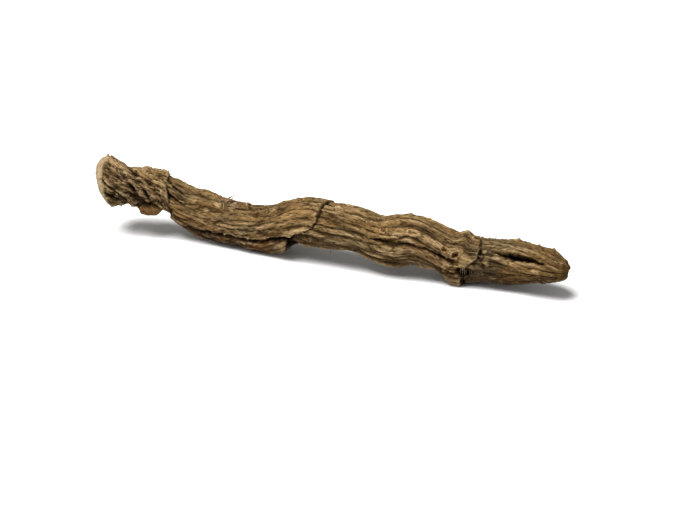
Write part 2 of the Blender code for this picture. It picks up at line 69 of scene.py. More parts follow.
def srgb(red: int, green: int, blue: int) -> Colour:
    """Turns a display colour in 0 to 255 into the linear colour that a shader takes.

    Args:
        red: Red on the display scale.
        green: Green on the display scale.
        blue: Blue on the display scale.

    Returns:
        The linear colour with full alpha.
    """
    linear = [
        value / 12.92 if value <= 0.04045 else ((value + 0.055) / 1.055) ** 2.4
        for value in (red / 255, green / 255, blue / 255)
    ]
    return (linear[0], linear[1], linear[2], 1.0)


# Numbers, noise and curves


def ease(value: Array) -> Array:
    """Smooth step from 0 to 1: 3t squared minus 2t cubed, with t held between 0 and 1."""
    t = np.clip(value, 0.0, 1.0)
    return t * t * (3 - 2 * t)


def wrap(angle: Array) -> Array:
    """Brings an angle in degrees between -180 and 180."""
    return (angle + 180.0) % 360.0 - 180.0


def unit(vectors: Array) -> Array:
    """The same directions, each of length 1."""
    return vectors / np.linalg.norm(vectors, axis=-1, keepdims=True)


def heading(turn: float, rise: float) -> Array:
    """Direction turned about +Z from +X and then raised, both in degrees."""
    turn, rise = math.radians(turn), math.radians(rise)
    return np.array([math.cos(turn) * math.cos(rise), math.sin(turn) * math.cos(rise), math.sin(rise)])


def bell(value: Array, middle: float, width: float) -> Array:
    """Bell curve: 1 where the value is at the middle, fading over the width each way."""
    return np.exp(-(((value - middle) / width) ** 2))


def groove(value: Array, width: float) -> Array:
    """1 where the value crosses zero, fading by the exponential of its size over the width."""
    return np.exp(-np.abs(value) / width)


def within(away: Array, edge: float, width: float = 1.0) -> Array:
    """1 well inside an edge and 0 beyond it, by the distance away, easing over a width."""
    return ease((edge - away) / width)


def read_curve(table: Table, column: int, along: Array) -> Array:
    """Reads one column of a table as a smooth curve over its first column.

    Each span is the cubic through both ends with the slopes of central differences.

    Args:
        table: Rows of numbers, the place first.
        column: Which column is read.
        along: Places where it is read.

    Returns:
        The column's value at each place.
    """
    rows = np.asarray(table, float)
    places, values = rows[:, 0], rows[:, column]
    slopes = np.gradient(values, places)
    left = np.clip(np.searchsorted(places, along) - 1, 0, len(places) - 2)
    span = places[left + 1] - places[left]
    t = np.clip((along - places[left]) / span, 0.0, 1.0)
    rise = 3 * t**2 - 2 * t**3
    return (
        values[left] * (1 - rise)
        + values[left + 1] * rise
        + slopes[left] * span * (t**3 - 2 * t**2 + t)
        + slopes[left + 1] * span * (t**3 - t**2)
    )


def corner_draws(cell: Array, seed: int) -> Array:
    """Three repeatable pseudo-random numbers, -1 to 1, for each whole-number cell.

    The cell's three numbers are multiplied by large primes, added, and their bits mixed.

    Args:
        cell: Whole-number places, three to a point.
        seed: Which of many independent draws is meant.

    Returns:
        Three numbers to a point.
    """
    mixed = cell[..., 0] * 374761393 + cell[..., 1] * 668265263 + cell[..., 2] * 1274126177
    mixed = (mixed + seed * 974634777) & 0xFFFFFFFF
    mixed = ((mixed ^ (mixed >> 13)) * 1103515245) & 0xFFFFFFFF
    mixed = mixed ^ (mixed >> 16)
    return np.stack([((mixed >> shift) & 255) / 127.5 - 1.0 for shift in (0, 8, 16)], axis=-1)


def noise(points: Array, seed: int) -> Array:
    """Smooth gradient noise, between about -1 and 1.

    Each corner of the unit cell round a point has a random slope. The noise is the sum of
    slope times offset over the eight corners, weighted by a quintic blend.

    Args:
        points: Places, three numbers to a point.
        seed: Which of many independent fields is meant.

    Returns:
        One number to a point.
    """
    cell = np.floor(points).astype(np.int64)
    inside = points - cell
    blend = inside**3 * (inside * (inside * 6 - 15) + 10)
    total = np.zeros(points.shape[:-1])
    for corner in np.ndindex(2, 2, 2):
        step = np.array(corner)
        weight = np.prod(np.where(step == 1, blend, 1 - blend), axis=-1)
        total += weight * np.sum(corner_draws(cell + step, seed) * (inside - step), axis=-1)
    return total


def smooth(values: Array, rows: int, columns: int) -> Array:
    """Evens out a grid that closes on itself across its columns.

    Each number becomes the mean of a window, taken twice in each direction.

    Args:
        values: Numbers on the grid.
        rows: How many rows the window reaches each way.
        columns: How many columns the window reaches each way.

    Returns:
        The evened grid.
    """
    result = values
    for _ in range(2):
        padded = np.pad(result, ((rows, rows), (0, 0)), mode="edge")
        padded = np.pad(padded, ((0, 0), (columns, columns)), mode="wrap")
        total = np.pad(padded.cumsum(axis=0).cumsum(axis=1), ((1, 0), (1, 0)))
        high, wide = 2 * rows + 1, 2 * columns + 1
        window = total[high:] - total[:-high]
        result = (window[:, wide:] - window[:, :-wide]) / (high * wide)
    return result


# The root's own tables, in millimetres and degrees

GIRTH_RADIUS = 7.0

# Centre line and section: along, side, height, half height, half depth
STATIONS: Table = (
    (-75.5, -4.4, 4.5, 7.8, 7.4),
    (-71.5, -3.4, 3.5, 6.0, 6.7),
    (-62.0, -1.2, 1.9, 5.9, 6.4),
    (-57.0, -0.2, 0.8, 5.8, 6.4),
    (-52.0, 0.5, -1.9, 6.3, 6.8),
    (-46.0, 0.9, -3.9, 7.2, 7.0),
    (-39.0, 1.0, -5.5, 7.0, 7.0),
    (-29.0, 0.6, -6.0, 6.7, 7.0),
    (-22.0, 0.2, -5.1, 6.9, 7.2),
    (-15.0, -0.2, -2.5, 6.8, 7.4),
    (-9.0, -0.4, -0.9, 7.2, 7.4),
    (0.0, -0.8, -0.8, 7.2, 7.3),
    (8.5, -1.0, -0.9, 6.8, 7.2),
    (15.0, -0.8, -2.3, 7.0, 7.4),
    (20.0, -0.6, -2.3, 7.9, 7.6),
    (27.3, -0.1, -1.2, 7.0, 7.3),
    (33.0, 0.4, -2.9, 6.5, 7.3),
    (37.5, 0.7, -4.8, 7.2, 7.4),
    (42.0, 1.0, -5.0, 8.2, 7.5),
    (44.0, 1.1, -5.4, 7.3, 7.3),
    (46.0, 1.3, -5.3, 6.9, 7.2),
    (52.0, 1.5, -4.9, 6.8, 6.8),
    (59.0, 1.0, -3.9, 6.4, 6.4),
    (66.0, 0.3, -3.1, 5.4, 5.8),
    (70.5, -0.4, -3.0, 4.4, 4.9),
    (73.0, -1.0, -3.1, 3.0, 3.8),
)
CUT_PLACE = STATIONS[0][0]
TIP_PLACE = STATIONS[-1][0]

# The wavy line of each node: angle, place, and how far the skin before it stands proud
NODE_ONE: Table = (
    (-150, -57.5, 0.0),
    (-90, -54.8, -2.0),
    (-40, -53.4, -2.0),
    (-10, -53.6, -0.6),
    (7, -54.6, 0.2),
    (24, -55.7, 0.4),
    (38, -56.8, 0.4),
    (58, -57.8, 0.3),
    (82, -58.2, 0.5),
    (111, -58.9, 0.6),
    (170, -59.2, 0.4),
)
NODE_TWO: Table = (
    (-130, -6.0, 0.7),
    (-90, -12.6, 1.6),
    (-60, -16.3, 2.4),
    (-30, -14.2, 2.2),
    (-19, -12.8, 1.4),
    (-8, -9.6, 0.5),
    (0, -6.7, 0.3),
    (12, -4.1, 0.4),
    (38, -3.1, 0.5),
    (70, -2.7, 0.5),
    (96, -2.5, 0.5),
    (120, -1.8, 0.5),
    (170, -2.5, 0.5),
)
NODE_THREE: Table = (
    (-140, 45.0, 0.2),
    (-90, 44.0, 0.3),
    (-40, 42.4, 0.6),
    (0, 43.4, 0.7),
    (12, 45.2, 0.6),
    (26, 47.0, 0.5),
    (50, 47.8, 0.4),
    (65, 47.4, 0.3),
    (101, 46.0, 0.3),
    (180, 45.0, 0.3),
)

# Splits, the last three shallow: depth, how broken each is, then place, angle and half width of its points
FISSURES: tuple[tuple[float, float, Table], ...] = (
    (1.6, 0.15, ((-53.0, -60, 0.5), (-50.0, -52, 0.7), (-46.7, -34, 0.7), (-43.5, -32, 0.6),
                 (-39.8, -18, 0.6), (-36.0, -13, 0.6), (-32.5, -12, 0.6), (-29.7, -15, 0.6),
                 (-25.6, -15, 0.7), (-21.0, -17, 0.8), (-15.3, -19, 0.8), (-13.2, -22, 0.8))),
    (1.5, 0.6, ((8.0, 24, 0.3), (14.2, 22, 0.6), (18.6, 19, 0.7), (24.3, 12, 0.8), (27.2, 10, 0.8),
                (30.8, 12, 0.7), (35.2, 14, 0.7), (37.7, 14, 0.8), (41.0, 5, 0.9))),
    (3.2, 0.0, ((53.0, 46, 0.2), (55.0, 43, 0.8), (57.5, 41, 1.3), (60.7, 38, 1.4), (63.5, 33, 1.2),
                (66.9, 31, 0.8), (69.0, 31, 0.4))),
    (1.7, 0.6, ((-72.0, 54, 0.3), (-68.6, 44, 0.6), (-66.6, 20, 0.8), (-63.7, -7, 0.6),
                (-62.0, -20, 0.3))),
    (1.6, 0.6, ((-66.0, 50, 0.3), (-63.7, 29, 0.6), (-61.0, -3, 0.7), (-59.5, -20, 0.4))),
    (1.3, 0.6, ((-64.5, 62, 0.3), (-62.0, 44, 0.6), (-59.0, 28, 0.6))),
    (1.4, 0.5, ((-77.0, 22, 0.4), (-73.5, 15, 0.6), (-70.5, -5, 0.5), (-68.0, -25, 0.5))),
    (1.6, 0.5, ((-76.0, -2, 0.8), (-73.0, -18, 1.1), (-69.5, -40, 0.7), (-66.0, -62, 0.4))),
    (1.1, 0.5, ((-75.0, 120, 0.4), (-70.0, 95, 0.7), (-65.5, 68, 0.5))),
    (1.2, 0.5, ((-74.0, -110, 0.5), (-68.0, -150, 0.8), (-63.0, 178, 0.5))),
    (1.2, 0.6, ((-50.0, 150, 0.3), (-40.0, 158, 0.7), (-28.0, 168, 0.8), (-14.0, 172, 0.5))),
    (1.2, 0.7, ((0.0, -70, 0.3), (8.0, -76, 0.7), (18.0, -80, 0.8), (30.0, -72, 0.7), (40.0, -66, 0.5))),
    (1.1, 0.7, ((6.0, 140, 0.3), (16.0, 134, 0.6), (28.0, 130, 0.7), (38.0, 122, 0.4))),
    (1.5, 0.4, ((50.0, -150, 0.4), (57.0, -154, 0.8), (65.0, -160, 0.9), (72.0, -168, 0.5))),
    (0.6, 0.3, ((-57.8, 80, 0.5), (-56.8, 67, 0.6), (-54.6, 62, 0.7), (-52.8, 60, 0.6), (-50.6, 57, 0.5),
                (-47.4, 50, 0.3))),
    (0.7, 0.2, ((-57.1, 44, 0.5), (-55.3, 34, 0.7), (-53.9, 31, 0.7), (-52.4, 30, 0.6), (-50.3, 33, 0.4))),
    (0.3, 0.0, ((-51.5, -56, 0.5), (-50.0, -52, 0.7), (-46.7, -34, 0.8), (-43.5, -32, 0.8), (-39.8, -18, 0.8),
                (-36.0, -13, 0.7), (-32.5, -12, 0.7), (-29.7, -15, 0.6))),
)

# Scars of fallen rootlets: place, angle, half length, half width, rim height, pit depth
ROOTLET_SCARS: Table = (
    (35.9, 34, 1.15, 1.0, 0.30, 1.3),
    (39.9, 26, 1.65, 1.3, 0.42, 1.8),
    (33.4, 39, 2.0, 1.1, 0.12, -0.2),
    (32.9, 38, 0.35, 0.35, 0.0, 0.6),
    (34.2, 40, 0.35, 0.30, 0.0, 0.5),
    (26.9, 41, 1.8, 1.1, 0.28, 0.4),
    (25.8, 22, 2.2, 1.0, 0.12, -0.25),
    (22.2, 34, 1.8, 0.8, 0.10, -0.25),
    (17.9, 46, 1.5, 1.0, 0.30, 0.6),
    (17.9, 65, 1.9, 0.7, 0.25, 0.3),
    (-19.9, 77, 0.7, 0.8, 0.25, 0.5),
    (-17.5, 72, 1.6, 1.1, 0.32, 0.9),
    (-10.3, 88, 1.5, 0.9, 0.30, 1.0),
    (-39.7, 64, 1.7, 1.0, 0.24, -0.3),
    (-42.7, 41, 1.4, 0.7, 0.13, -0.2),
    (-49.0, 49, 1.8, 0.85, 0.18, -0.2),
    (49.6, 48, 0.9, 0.8, 0.20, -0.2),
    (53.9, 31, 1.5, 0.8, 0.20, -0.25),
    (50.3, 22, 1.4, 0.9, 0.25, -0.2),
    (50.7, 12, 0.9, 0.6, 0.20, -0.2),
    (66.5, 43, 0.55, 0.5, 0.05, 0.9),
    (66.2, 2, 1.8, 0.9, 0.12, -0.25),
    (-26.0, 150, 1.5, 1.2, 0.30, 0.7),
    (-20.0, 128, 1.2, 1.0, 0.25, 0.3),
    (3.0, 165, 1.6, 1.2, 0.35, 0.9),
    (27.0, 172, 1.4, 1.5, 0.38, 1.1),
    (41.0, 140, 1.3, 1.0, 0.22, 0.4),
    (61.0, 125, 1.2, 1.0, 0.28, 0.6),
    (-47.0, -110, 1.6, 1.2, 0.38, 0.8),
    (-43.0, -78, 1.2, 1.2, 0.22, 0.3),
    (-24.0, -120, 1.7, 1.4, 0.38, 1.0),
    (-17.0, -70, 1.2, 1.0, 0.28, 0.5),
    (-2.0, -115, 1.5, 1.4, 0.38, 1.1),
    (5.0, -48, 1.2, 1.0, 0.22, 0.4),
    (12.0, -130, 1.4, 1.1, 0.30, 0.7),
    (24.0, -104, 1.6, 1.4, 0.38, 0.9),
    (30.0, -40, 1.1, 0.9, 0.20, 0.3),
    (52.0, -70, 1.3, 1.2, 0.32, 0.8),
    (58.0, -110, 1.6, 1.3, 0.32, 1.0),
    (65.0, -55, 1.1, 1.0, 0.20, 0.4),
)

# Bent ridges of fallen leaves: place, middle angle, half span, height
LEAF_SCARS: Table = (
    (-69.0, 165, 50, 0.35),
    (-44.0, 175, 60, 0.50),
    (-31.0, 120, 50, 0.40),
    (-10.0, 165, 60, 0.45),
    (12.0, 175, 60, 0.50),
    (24.0, 110, 50, 0.40),
    (34.0, 170, 55, 0.45),
    (57.0, 150, 55, 0.45),
)

# Hollows: place, angle, half length, half width, depth. A narrow one is painted black inside, as shade.
NARROW_HOLLOW = 3.0
HOLLOWS: Table = (
    (43.4, -12, 3.2, 1.9, 2.2),
    (-13.2, -72, 4.6, 6.5, 2.2),
    (35.8, -66, 4.0, 6.0, 1.9),
    (-54.5, -110, 4.0, 4.0, 0.8),
    (-56.0, -64, 2.2, 4.5, 1.3),
)

# Coloured patches, by mask: place, angle, half length, half width, strength. Grey, rust and gold are stains;
# dark is partly dark bark and partly painted shade on the lower side.
STAINS_AND_SHADE: dict[str, Table] = {
    "grey": (
        (51.0, 18, 5.5, 3.6, 1.0),
        (49.5, -20, 5.0, 4.0, 0.7),
        (55.0, 78, 7.0, 3.5, 0.7),
        (2.0, -8, 9.0, 3.0, 0.8),
        (-17.5, 74, 2.6, 1.7, 1.0),
        (18.0, -6, 12.0, 2.5, 0.6),
        (-31.0, 20, 9.0, 3.5, 0.5),
        (-74.0, 60, 5.0, 3.0, 0.4),
        (-30.0, 160, 12.0, 5.0, 0.7),
        (20.0, 150, 14.0, 5.0, 0.7),
        (-5.0, -110, 16.0, 6.0, 0.6),
    ),
    "rust": (
        (-36.0, -52, 20.0, 3.8, 1.0),
        (-71.5, 40, 4.5, 3.5, 0.5),
        (30.5, 4, 8.0, 1.4, 0.6),
        (62.0, 40, 5.0, 1.2, 0.9),
        (73.0, 45, 1.6, 2.0, 0.6),
        (38.0, 12, 3.0, 2.0, 0.5),
        (-50.0, -120, 10.0, 6.0, 0.6),
        (25.0, -120, 12.0, 5.0, 0.6),
    ),
    "gold": (
        (62.0, -4, 7.0, 4.0, 0.9),
        (67.0, 62, 6.0, 3.0, 0.6),
        (22.0, 62, 14.0, 3.0, 0.5),
        (-66.0, 78, 6.0, 3.0, 0.5),
        (-8.0, 50, 7.0, 3.0, 0.4),
        (35.0, -140, 10.0, 5.0, 0.5),
        (-40.0, -160, 10.0, 4.0, 0.5),
    ),
    # Partly painted shade on the lower side, partly dark bark.
    "dark": (
        (-67.5, -8, 8.5, 4.4, 0.9),
        (-36.0, -58, 20.0, 3.4, 0.85),
        (-16.5, -66, 2.6, 2.6, 1.0),
        (-6.0, -60, 9.0, 3.2, 0.45),
        (24.0, -45, 15.0, 3.0, 0.4),
        (51.0, 15, 4.6, 3.6, 0.55),
        (49.3, 34, 1.5, 3.2, 0.8),
        (60.0, -60, 12.0, 3.0, 0.35),
        (-66.0, 170, 8.0, 5.0, 0.3),
    ),
}

# Torn places, painted black inside as shade, in the same form
TORN_SPOTS: Table = (
    (43.6, -18, 2.7, 1.6, 1.0),
    (48.0, 42, 0.5, 2.8, 0.9),
    (46.6, 14, 0.6, 1.6, 0.6),
    (26.9, 41, 1.1, 0.32, 0.9),
    (17.9, 46, 0.8, 0.36, 0.9),
)


class Bark(Enum):
    """How the skin of a stretch has dried."""

    TWISTED = "twisted and flaking"
    WRINKLED = "finely wrinkled"
    RIBBED = "deeply ribbed"
    FOLDED = "folded and weathered"


@dataclass(frozen=True)
class Grain:
    """Noise drawn out along the stem: its strength, size along and across it in mm, and seed."""

    strength: float
    length: float
    width: float
    seed: int

    def other(self, number: int) -> Grain:
        """The same grain from another of its seeds."""
        return replace(self, seed=self.seed + number)


@dataclass(frozen=True)
class Places:
    """Places on the skin: how far along the stem in mm, and the angle round it in degrees."""

    along: Array
    angle: Array

    def on_stem(self, radius: float | Array) -> Array:
        """The places on a straight stem of the given radius, three numbers to a place."""
        turned = np.radians(self.angle)
        return np.stack([self.along, radius * np.cos(turned), radius * np.sin(turned)], axis=-1)

    def straight(self, length: float, width: float, twist: float = 0.0) -> Array:
        """The places on a stem made straight, as multiples of a length and a width.

        Args:
            length: Size along the grain that counts as 1.
            width: Size across the grain that counts as 1.
            twist: Degrees that the grain turns in each mm.

        Returns:
            Three numbers to a place.
        """
        twisted = self.turned(-twist * self.along)
        return Places(self.along / length, twisted.angle).on_stem(GIRTH_RADIUS / width)

    def grained(self, grain: Grain, twist: float = 0.0) -> Array:
        """Noise at each place, along grain that turns by twist degrees in each mm."""
        return grain.strength * noise(self.straight(grain.length, grain.width, twist), grain.seed)

    def turned(self, degrees: Array) -> Places:
        """The same places, turned round the stem."""
        return Places(self.along, self.angle + degrees)

    def ring(self, along: float) -> Places:
        """The same angles, all at one place along the stem."""
        return Places(self.along * 0 + along, self.angle)

    def across(self, angle: float) -> Array:
        """Distance in mm round the stem from an angle."""
        return np.radians(wrap(self.angle - angle)) * GIRTH_RADIUS

    def away(self, spot: Row) -> Array:
        """Distance from a spot, as a share of its oval's half length and half width."""
        place, angle, length, width = spot[:4]
        return np.hypot((self.along - place) / length, self.across(angle) / width)


@dataclass(frozen=True)
class Stretch:
    """One stretch of stem between two nodes.

    middle is its place, and twist how far its grain turns, in degrees per mm. length, depth
    and spacing are its creases', crumble and fine the depth of its crumbled skin and fine
    creases, and reach the fine creases' length, all in mm. flakes is the share of the skin
    that has broken into flakes, and tone its lightness.
    """

    bark: Bark
    middle: float
    twist: float
    length: float
    depth: float
    spacing: float
    crumble: float
    flakes: float
    fine: float
    reach: float
    tone: float


@dataclass
class Layers:
    """What the skin holds at each point: its relief in mm, and masks from 0 to 1."""

    relief: Array
    # Painted shade in creases, grooves and hollows.
    crease: Array
    # Painted shade, near black, in splits, cracks and hollows and past tall steps.
    split: Array
    # Pale scars, strands and crests, and painted highlights on edges and rims.
    pale: Array
    pit: Array
    stub: Array
    cut: Array
    tip: Array
    grey: Array
    rust: Array
    gold: Array
    # Dark patches, partly painted shade.
    dark: Array
    # Lightness, darkened towards the underside by painted shade.
    tone: Array

    @classmethod
    def blank(cls, like: Array) -> Layers:
        """All layers at zero, in the shape of an array."""
        return cls(*(np.zeros_like(like, dtype=float) for _ in fields(cls)))

    def add(self, amount: Array, **shares: float) -> None:
        """Adds an amount to the named layers.

        Args:
            amount: One number to a point.
            shares: How many times the amount each layer takes, by the layer's name.
        """
        for name, share in shares.items():
            layer = getattr(self, name)
            layer += share * amount


@dataclass
class Skin:
    """The relief and colouring of the root's skin, by place along it and angle round it.

    fine_folds holds the depth, length and spacing of each finer layer of creases, as shares
    of its stretch's own. plates holds the length, width, height and rarity of each layer of
    flakes, and plate_rags how ragged and how fine their edges are. stub holds the stump's
    place, angle, half length, half width and height. hollow_shade_reaches holds how many grid points
    away the painted shade of hollows reaches, how much it darkens them, and how pale it paints crests, partly
    painted highlight and partly wear.
    """

    stretches: tuple[Stretch, ...] = (
        Stretch(Bark.TWISTED, -68.0, -3.0, 9.0, 1.35, 2.1, 0.80, 1.00, 0.86, 4.0, 0.79),
        Stretch(Bark.WRINKLED, -32.0, 0.7, 16.0, 0.85, 2.0, 0.18, 0.30, 0.50, 6.5, 0.56),
        Stretch(Bark.RIBBED, 21.0, -0.5, 24.0, 1.25, 2.1, 0.20, 0.20, 0.78, 14.0, 0.67),
        Stretch(Bark.FOLDED, 62.0, -1.0, 17.0, 0.95, 2.3, 0.22, 0.25, 0.50, 10.0, 0.56),
    )
    nodes: tuple[Table, ...] = (NODE_ONE, NODE_TWO, NODE_THREE)
    swell: Grain = Grain(0.6, 26.0, 9.0, 81)
    sway: Grain = Grain(8.0, 18.0, 7.0, 31)
    swirl: Grain = Grain(16.0, 5.0, 3.0, 34)
    ripple: Grain = Grain(8.0, 2.4, 1.6, 32)
    ripple_reach: float = 5.0
    broken: Grain = Grain(1.6, 9.0, 3.0, 33)
    crease_width: float = 0.28
    dark_width: float = 0.10
    fine_width: float = 0.16
    crease_level: float = 0.55
    fine_level: float = 0.35
    rib_height: float = 0.35
    # How much lighter raised ribs are painted, a painted highlight.
    rib_light: float = 0.20
    fine_light: float = 0.14
    crumble_size: float = 2.3
    fine_folds: Table = ((1.0, 1.0, 0.48), (0.70, 0.55, 0.29))
    strand_width: float = 0.09
    strand_height: float = 0.22
    plates: Table = ((5.0, 2.0, 0.42, 0.30), (2.0, 0.9, 0.32, 0.32))
    plate_patches: Grain = Grain(0.5, 9.0, 5.0, 121)
    plate_rags: Row = (0.45, 2.7)
    plate_edge: float = 0.09
    plate_line: float = 0.05
    node_blend: float = 0.6
    node_waves: tuple[Grain, ...] = (Grain(1.0, 1.0, 2.4, 11), Grain(0.35, 1.0, 0.8, 12))
    crack_levels: Row = (0.30, 0.55, 0.55)
    crack_rags: Grain = Grain(1.4, 2.0, 2.0, 20)
    crack_place: float = 0.2
    crack_depth: float = 0.8
    crack_width: float = 0.29
    lip_fade: float = 6.0
    split_waves: tuple[Grain, ...] = (Grain(0.5, 3.0, 6.0, 71), Grain(0.9, 1.3, 1.0, 72))
    split_breaks: Grain = Grain(1.8, 3.5, 3.0, 73)
    split_reach: float = 1.5
    rim_place: float = 0.86
    moat_place: float = 1.18
    rim_width: float = 0.16
    pit_share: float = 0.66
    pit_wall: float = 0.26
    scar_edge: Grain = Grain(0.16, 1.3, 1.1, 75)
    scar_flecks: Grain = Grain(1.3, 1.8, 0.5, 187)
    leaf_bend: float = 3.0
    leaf_width: float = 0.5
    leaf_step: float = 0.8
    leaf_fade: float = 2.5
    leaf_wave: Grain = Grain(1.2, 1.0, 2.0, 76)
    leaf_gaps: Grain = Grain(1.6, 1.0, 2.6, 77)
    stub: Row = (-60.4, -46.0, 4.5, 3.0, 2.1)
    rim_length: float = 0.3
    tip_length: float = 1.2
    end_edge: Grain = Grain(0.9, 1.0, 2.2, 191)
    stain_and_shade_edge: Grain = Grain(0.9, 3.0, 1.6, 186)
    dust: Grain = Grain(0.10, 1.3, 0.7, 181)
    # How much the tone is darkened towards the underside, painted shade.
    underside_shade: float = 0.44
    # How far, and how strongly, shade is painted into hollows and crests are painted pale.
    hollow_shade_reaches: tuple[tuple[int, float, float], ...] = ((4, 0.9, 0.5), (10, 0.5, 0.3))

    def past_node(self, node: Table, at: Places) -> tuple[Array, Array]:
        """Distance past a node's wavy line, and the step in the skin there.

        The line and step run straight between the table's angles, and noise waves the line.

        Args:
            node: The node's table.
            at: Places on the skin.

        Returns:
            Distance in mm, negative before the line, and the step in mm.
        """
        rows = np.asarray(node, float)
        line, step = (np.interp(at.angle, rows[:, 0], rows[:, column], period=360) for column in (1, 2))
        wander = sum(at.ring(rows[0, 1]).grained(wave) for wave in self.node_waves)
        return at.along - line - wander, step

    def weights(self, at: Places) -> Array:
        """How much each stretch counts at a place: 1 inside it and 0 elsewhere."""
        passed = [ease(self.past_node(node, at)[0] / self.node_blend + 0.5) for node in self.nodes]
        return -np.diff([np.ones_like(at.along), *passed, np.zeros_like(at.along)], axis=0)

    def add_creases(self, skin: Layers, at: Places, calm: Array) -> None:
        """Adds long creases and finer ones between them, with painted shade on their floors, crumbled skin
        and raised strands.

        A crease is a groove where noise stretched along the grain crosses zero, so its floor
        is sharp. A strand lies where another such noise crosses zero.

        Args:
            skin: Layers that it adds to.
            at: Places on the skin.
            calm: Share of the relief that stays, less round the stump.
        """
        sway, swirl, ripple = (at.grained(grain) for grain in (self.sway, self.swirl, self.ripple))
        broken = ease(0.5 + at.grained(self.broken))
        size = self.crumble_size
        for seed, (weight, part) in enumerate(zip(self.weights(at), self.stretches)):
            spot = at.turned(sway + part.crumble * swirl)
            folds = spot.grained(Grain(1.0, part.length, part.spacing, 40 + seed), part.twist)
            ribs = spot.grained(Grain(1.0, 2 * part.length, 1.9 * part.spacing, 50 + seed), part.twist)
            ridge = 1.0 - groove(folds, self.crease_width)
            relief = part.depth * (ridge - self.crease_level + self.rib_height * ribs)
            relief += at.grained(Grain(part.crumble, 1.4 * size, size, 60 + seed), part.twist)
            # Painted shade darkens the floor of each fold and of the finer folds.
            crease = 0.8 * groove(folds, self.dark_width)
            # Raised ribs are painted lighter as they stand higher, a painted highlight.
            light = self.rib_light * ribs
            rippled = spot.turned(ripple * self.ripple_reach / part.reach)
            for octave, (depth, length, spacing) in enumerate(self.fine_folds):
                finer = Grain(1.0, part.reach * length, part.spacing * spacing, 100 + 10 * octave + seed)
                fine = rippled.grained(finer, part.twist)
                line = groove(fine, self.fine_width) * (0.4 + 0.6 * broken)
                relief += part.fine * depth * (self.fine_level - line)
                crease = np.maximum(crease, line * (0.75 - 0.2 * octave))
                light += self.fine_light * fine
            strands = Grain(1.0, 0.7 * part.length, 0.45 * part.spacing, 150 + seed)
            strand = bell(spot.turned(-ripple).grained(strands, part.twist), 0.0, self.strand_width) * broken
            skin.add(weight * calm * relief, relief=1.0)
            skin.add(weight * calm * strand, relief=self.strand_height, pale=0.3)
            skin.add(weight * calm * crease, crease=1.0)
            skin.add(weight * (part.tone + light), tone=1.0)

    def add_plates(self, skin: Layers, at: Places, calm: Array) -> None:
        """Adds flakes of outer bark: ragged plates with a painted highlight on their sharp edge and painted
        shadow at their foot.

        A plate lies where two layers of noise along the grain add up past a level.

        Args:
            skin: Layers that it adds to.
            at: Places on the skin.
            calm: Share of the relief that stays, less round the stump.
        """
        patchy = at.grained(self.plate_patches)
        ragged, finer = self.plate_rags
        for seed, (weight, part) in enumerate(zip(self.weights(at), self.stretches)):
            amount = weight * calm
            for octave, (length, width, height, rarity) in enumerate(self.plates):
                places = at.straight(length, width, part.twist)
                field_seed = 130 + 10 * octave + seed
                level = noise(places, field_seed) + ragged * noise(places * finer, field_seed + 40)
                level += patchy + 0.6 * (part.flakes - 1.0) - rarity + 0.3
                skin.add(amount * ease(level / self.plate_edge), relief=height, tone=0.10)
                # Painted highlight along each plate's edge, and painted shadow at its foot.
                skin.add(amount * bell(level, self.plate_edge, self.plate_line), pale=0.45)
                skin.add(amount * bell(level, -0.04, self.plate_line), split=0.55 * part.flakes)

    def add_nodes(self, skin: Layers, at: Places, calm: Array) -> None:
        """Adds a ragged crack along each node's line, painted black as shade, and the raised lip before it,
        with a painted highlight on its edge and painted shadow past a tall step.

        Args:
            skin: Layers that it adds to.
            at: Places on the skin.
            calm: Share of the relief that stays, less round the stump.
        """
        for seed, (node, level) in enumerate(zip(self.nodes, self.crack_levels)):
            past, step = self.past_node(node, at)
            ragged = np.clip(level + at.grained(self.crack_rags.other(seed)), 0.0, 1.3)
            lip = step * np.exp(np.minimum(past, 0.0) / self.lip_fade) * (1 - ease(past / 0.5 + 0.3))
            crack = ragged * bell(past, self.crack_place, self.crack_width)
            skin.add(calm * lip, relief=1.0)
            skin.add(calm * crack, relief=-self.crack_depth, split=1.6)
            # Painted shadow past a tall step, and a painted highlight on the lip's edge.
            skin.add(ease(step - 0.9) * bell(past, 0.8, 1.3), split=0.95)
            skin.add(ease(step) * ease(2.0 - step) * bell(past, -0.7, 0.35), pale=0.25)

    def add_splits(self, skin: Layers, at: Places) -> None:
        """Adds V-shaped splits, each the nearest distance to its own line of strokes, painted near black
        inside as shade.

        Args:
            skin: Layers that it adds to.
            at: Places on the skin.
        """
        sway = sum(at.grained(wave) for wave in self.split_waves)
        swayed = at.turned(np.degrees(sway / GIRTH_RADIUS))
        closed = ease(0.5 - at.grained(self.split_breaks))
        for depth, broken, points in FISSURES:
            widest = max(point[2] for point in points)
            cut = np.zeros_like(at.along)
            for start, end in zip(points, points[1:]):
                past, across = at.along - start[0], swayed.across(start[1])
                run = np.array([end[0] - start[0], math.radians(wrap(end[1] - start[1])) * GIRTH_RADIUS])
                share = np.clip((past * run[0] + across * run[1]) / (run @ run), 0.0, 1.0)
                away = np.hypot(past - share * run[0], across - share * run[1])
                width = start[2] + (end[2] - start[2]) * share
                cut = np.maximum(cut, width / widest * within(away / (self.split_reach * width), 1.0))
            cut *= 1.0 - broken * closed
            skin.add(cut, relief=-depth)
            # Painted shade: the deep part of each split is painted near black.
            skin.add(ease(1.5 * cut - 0.35), split=1.2)

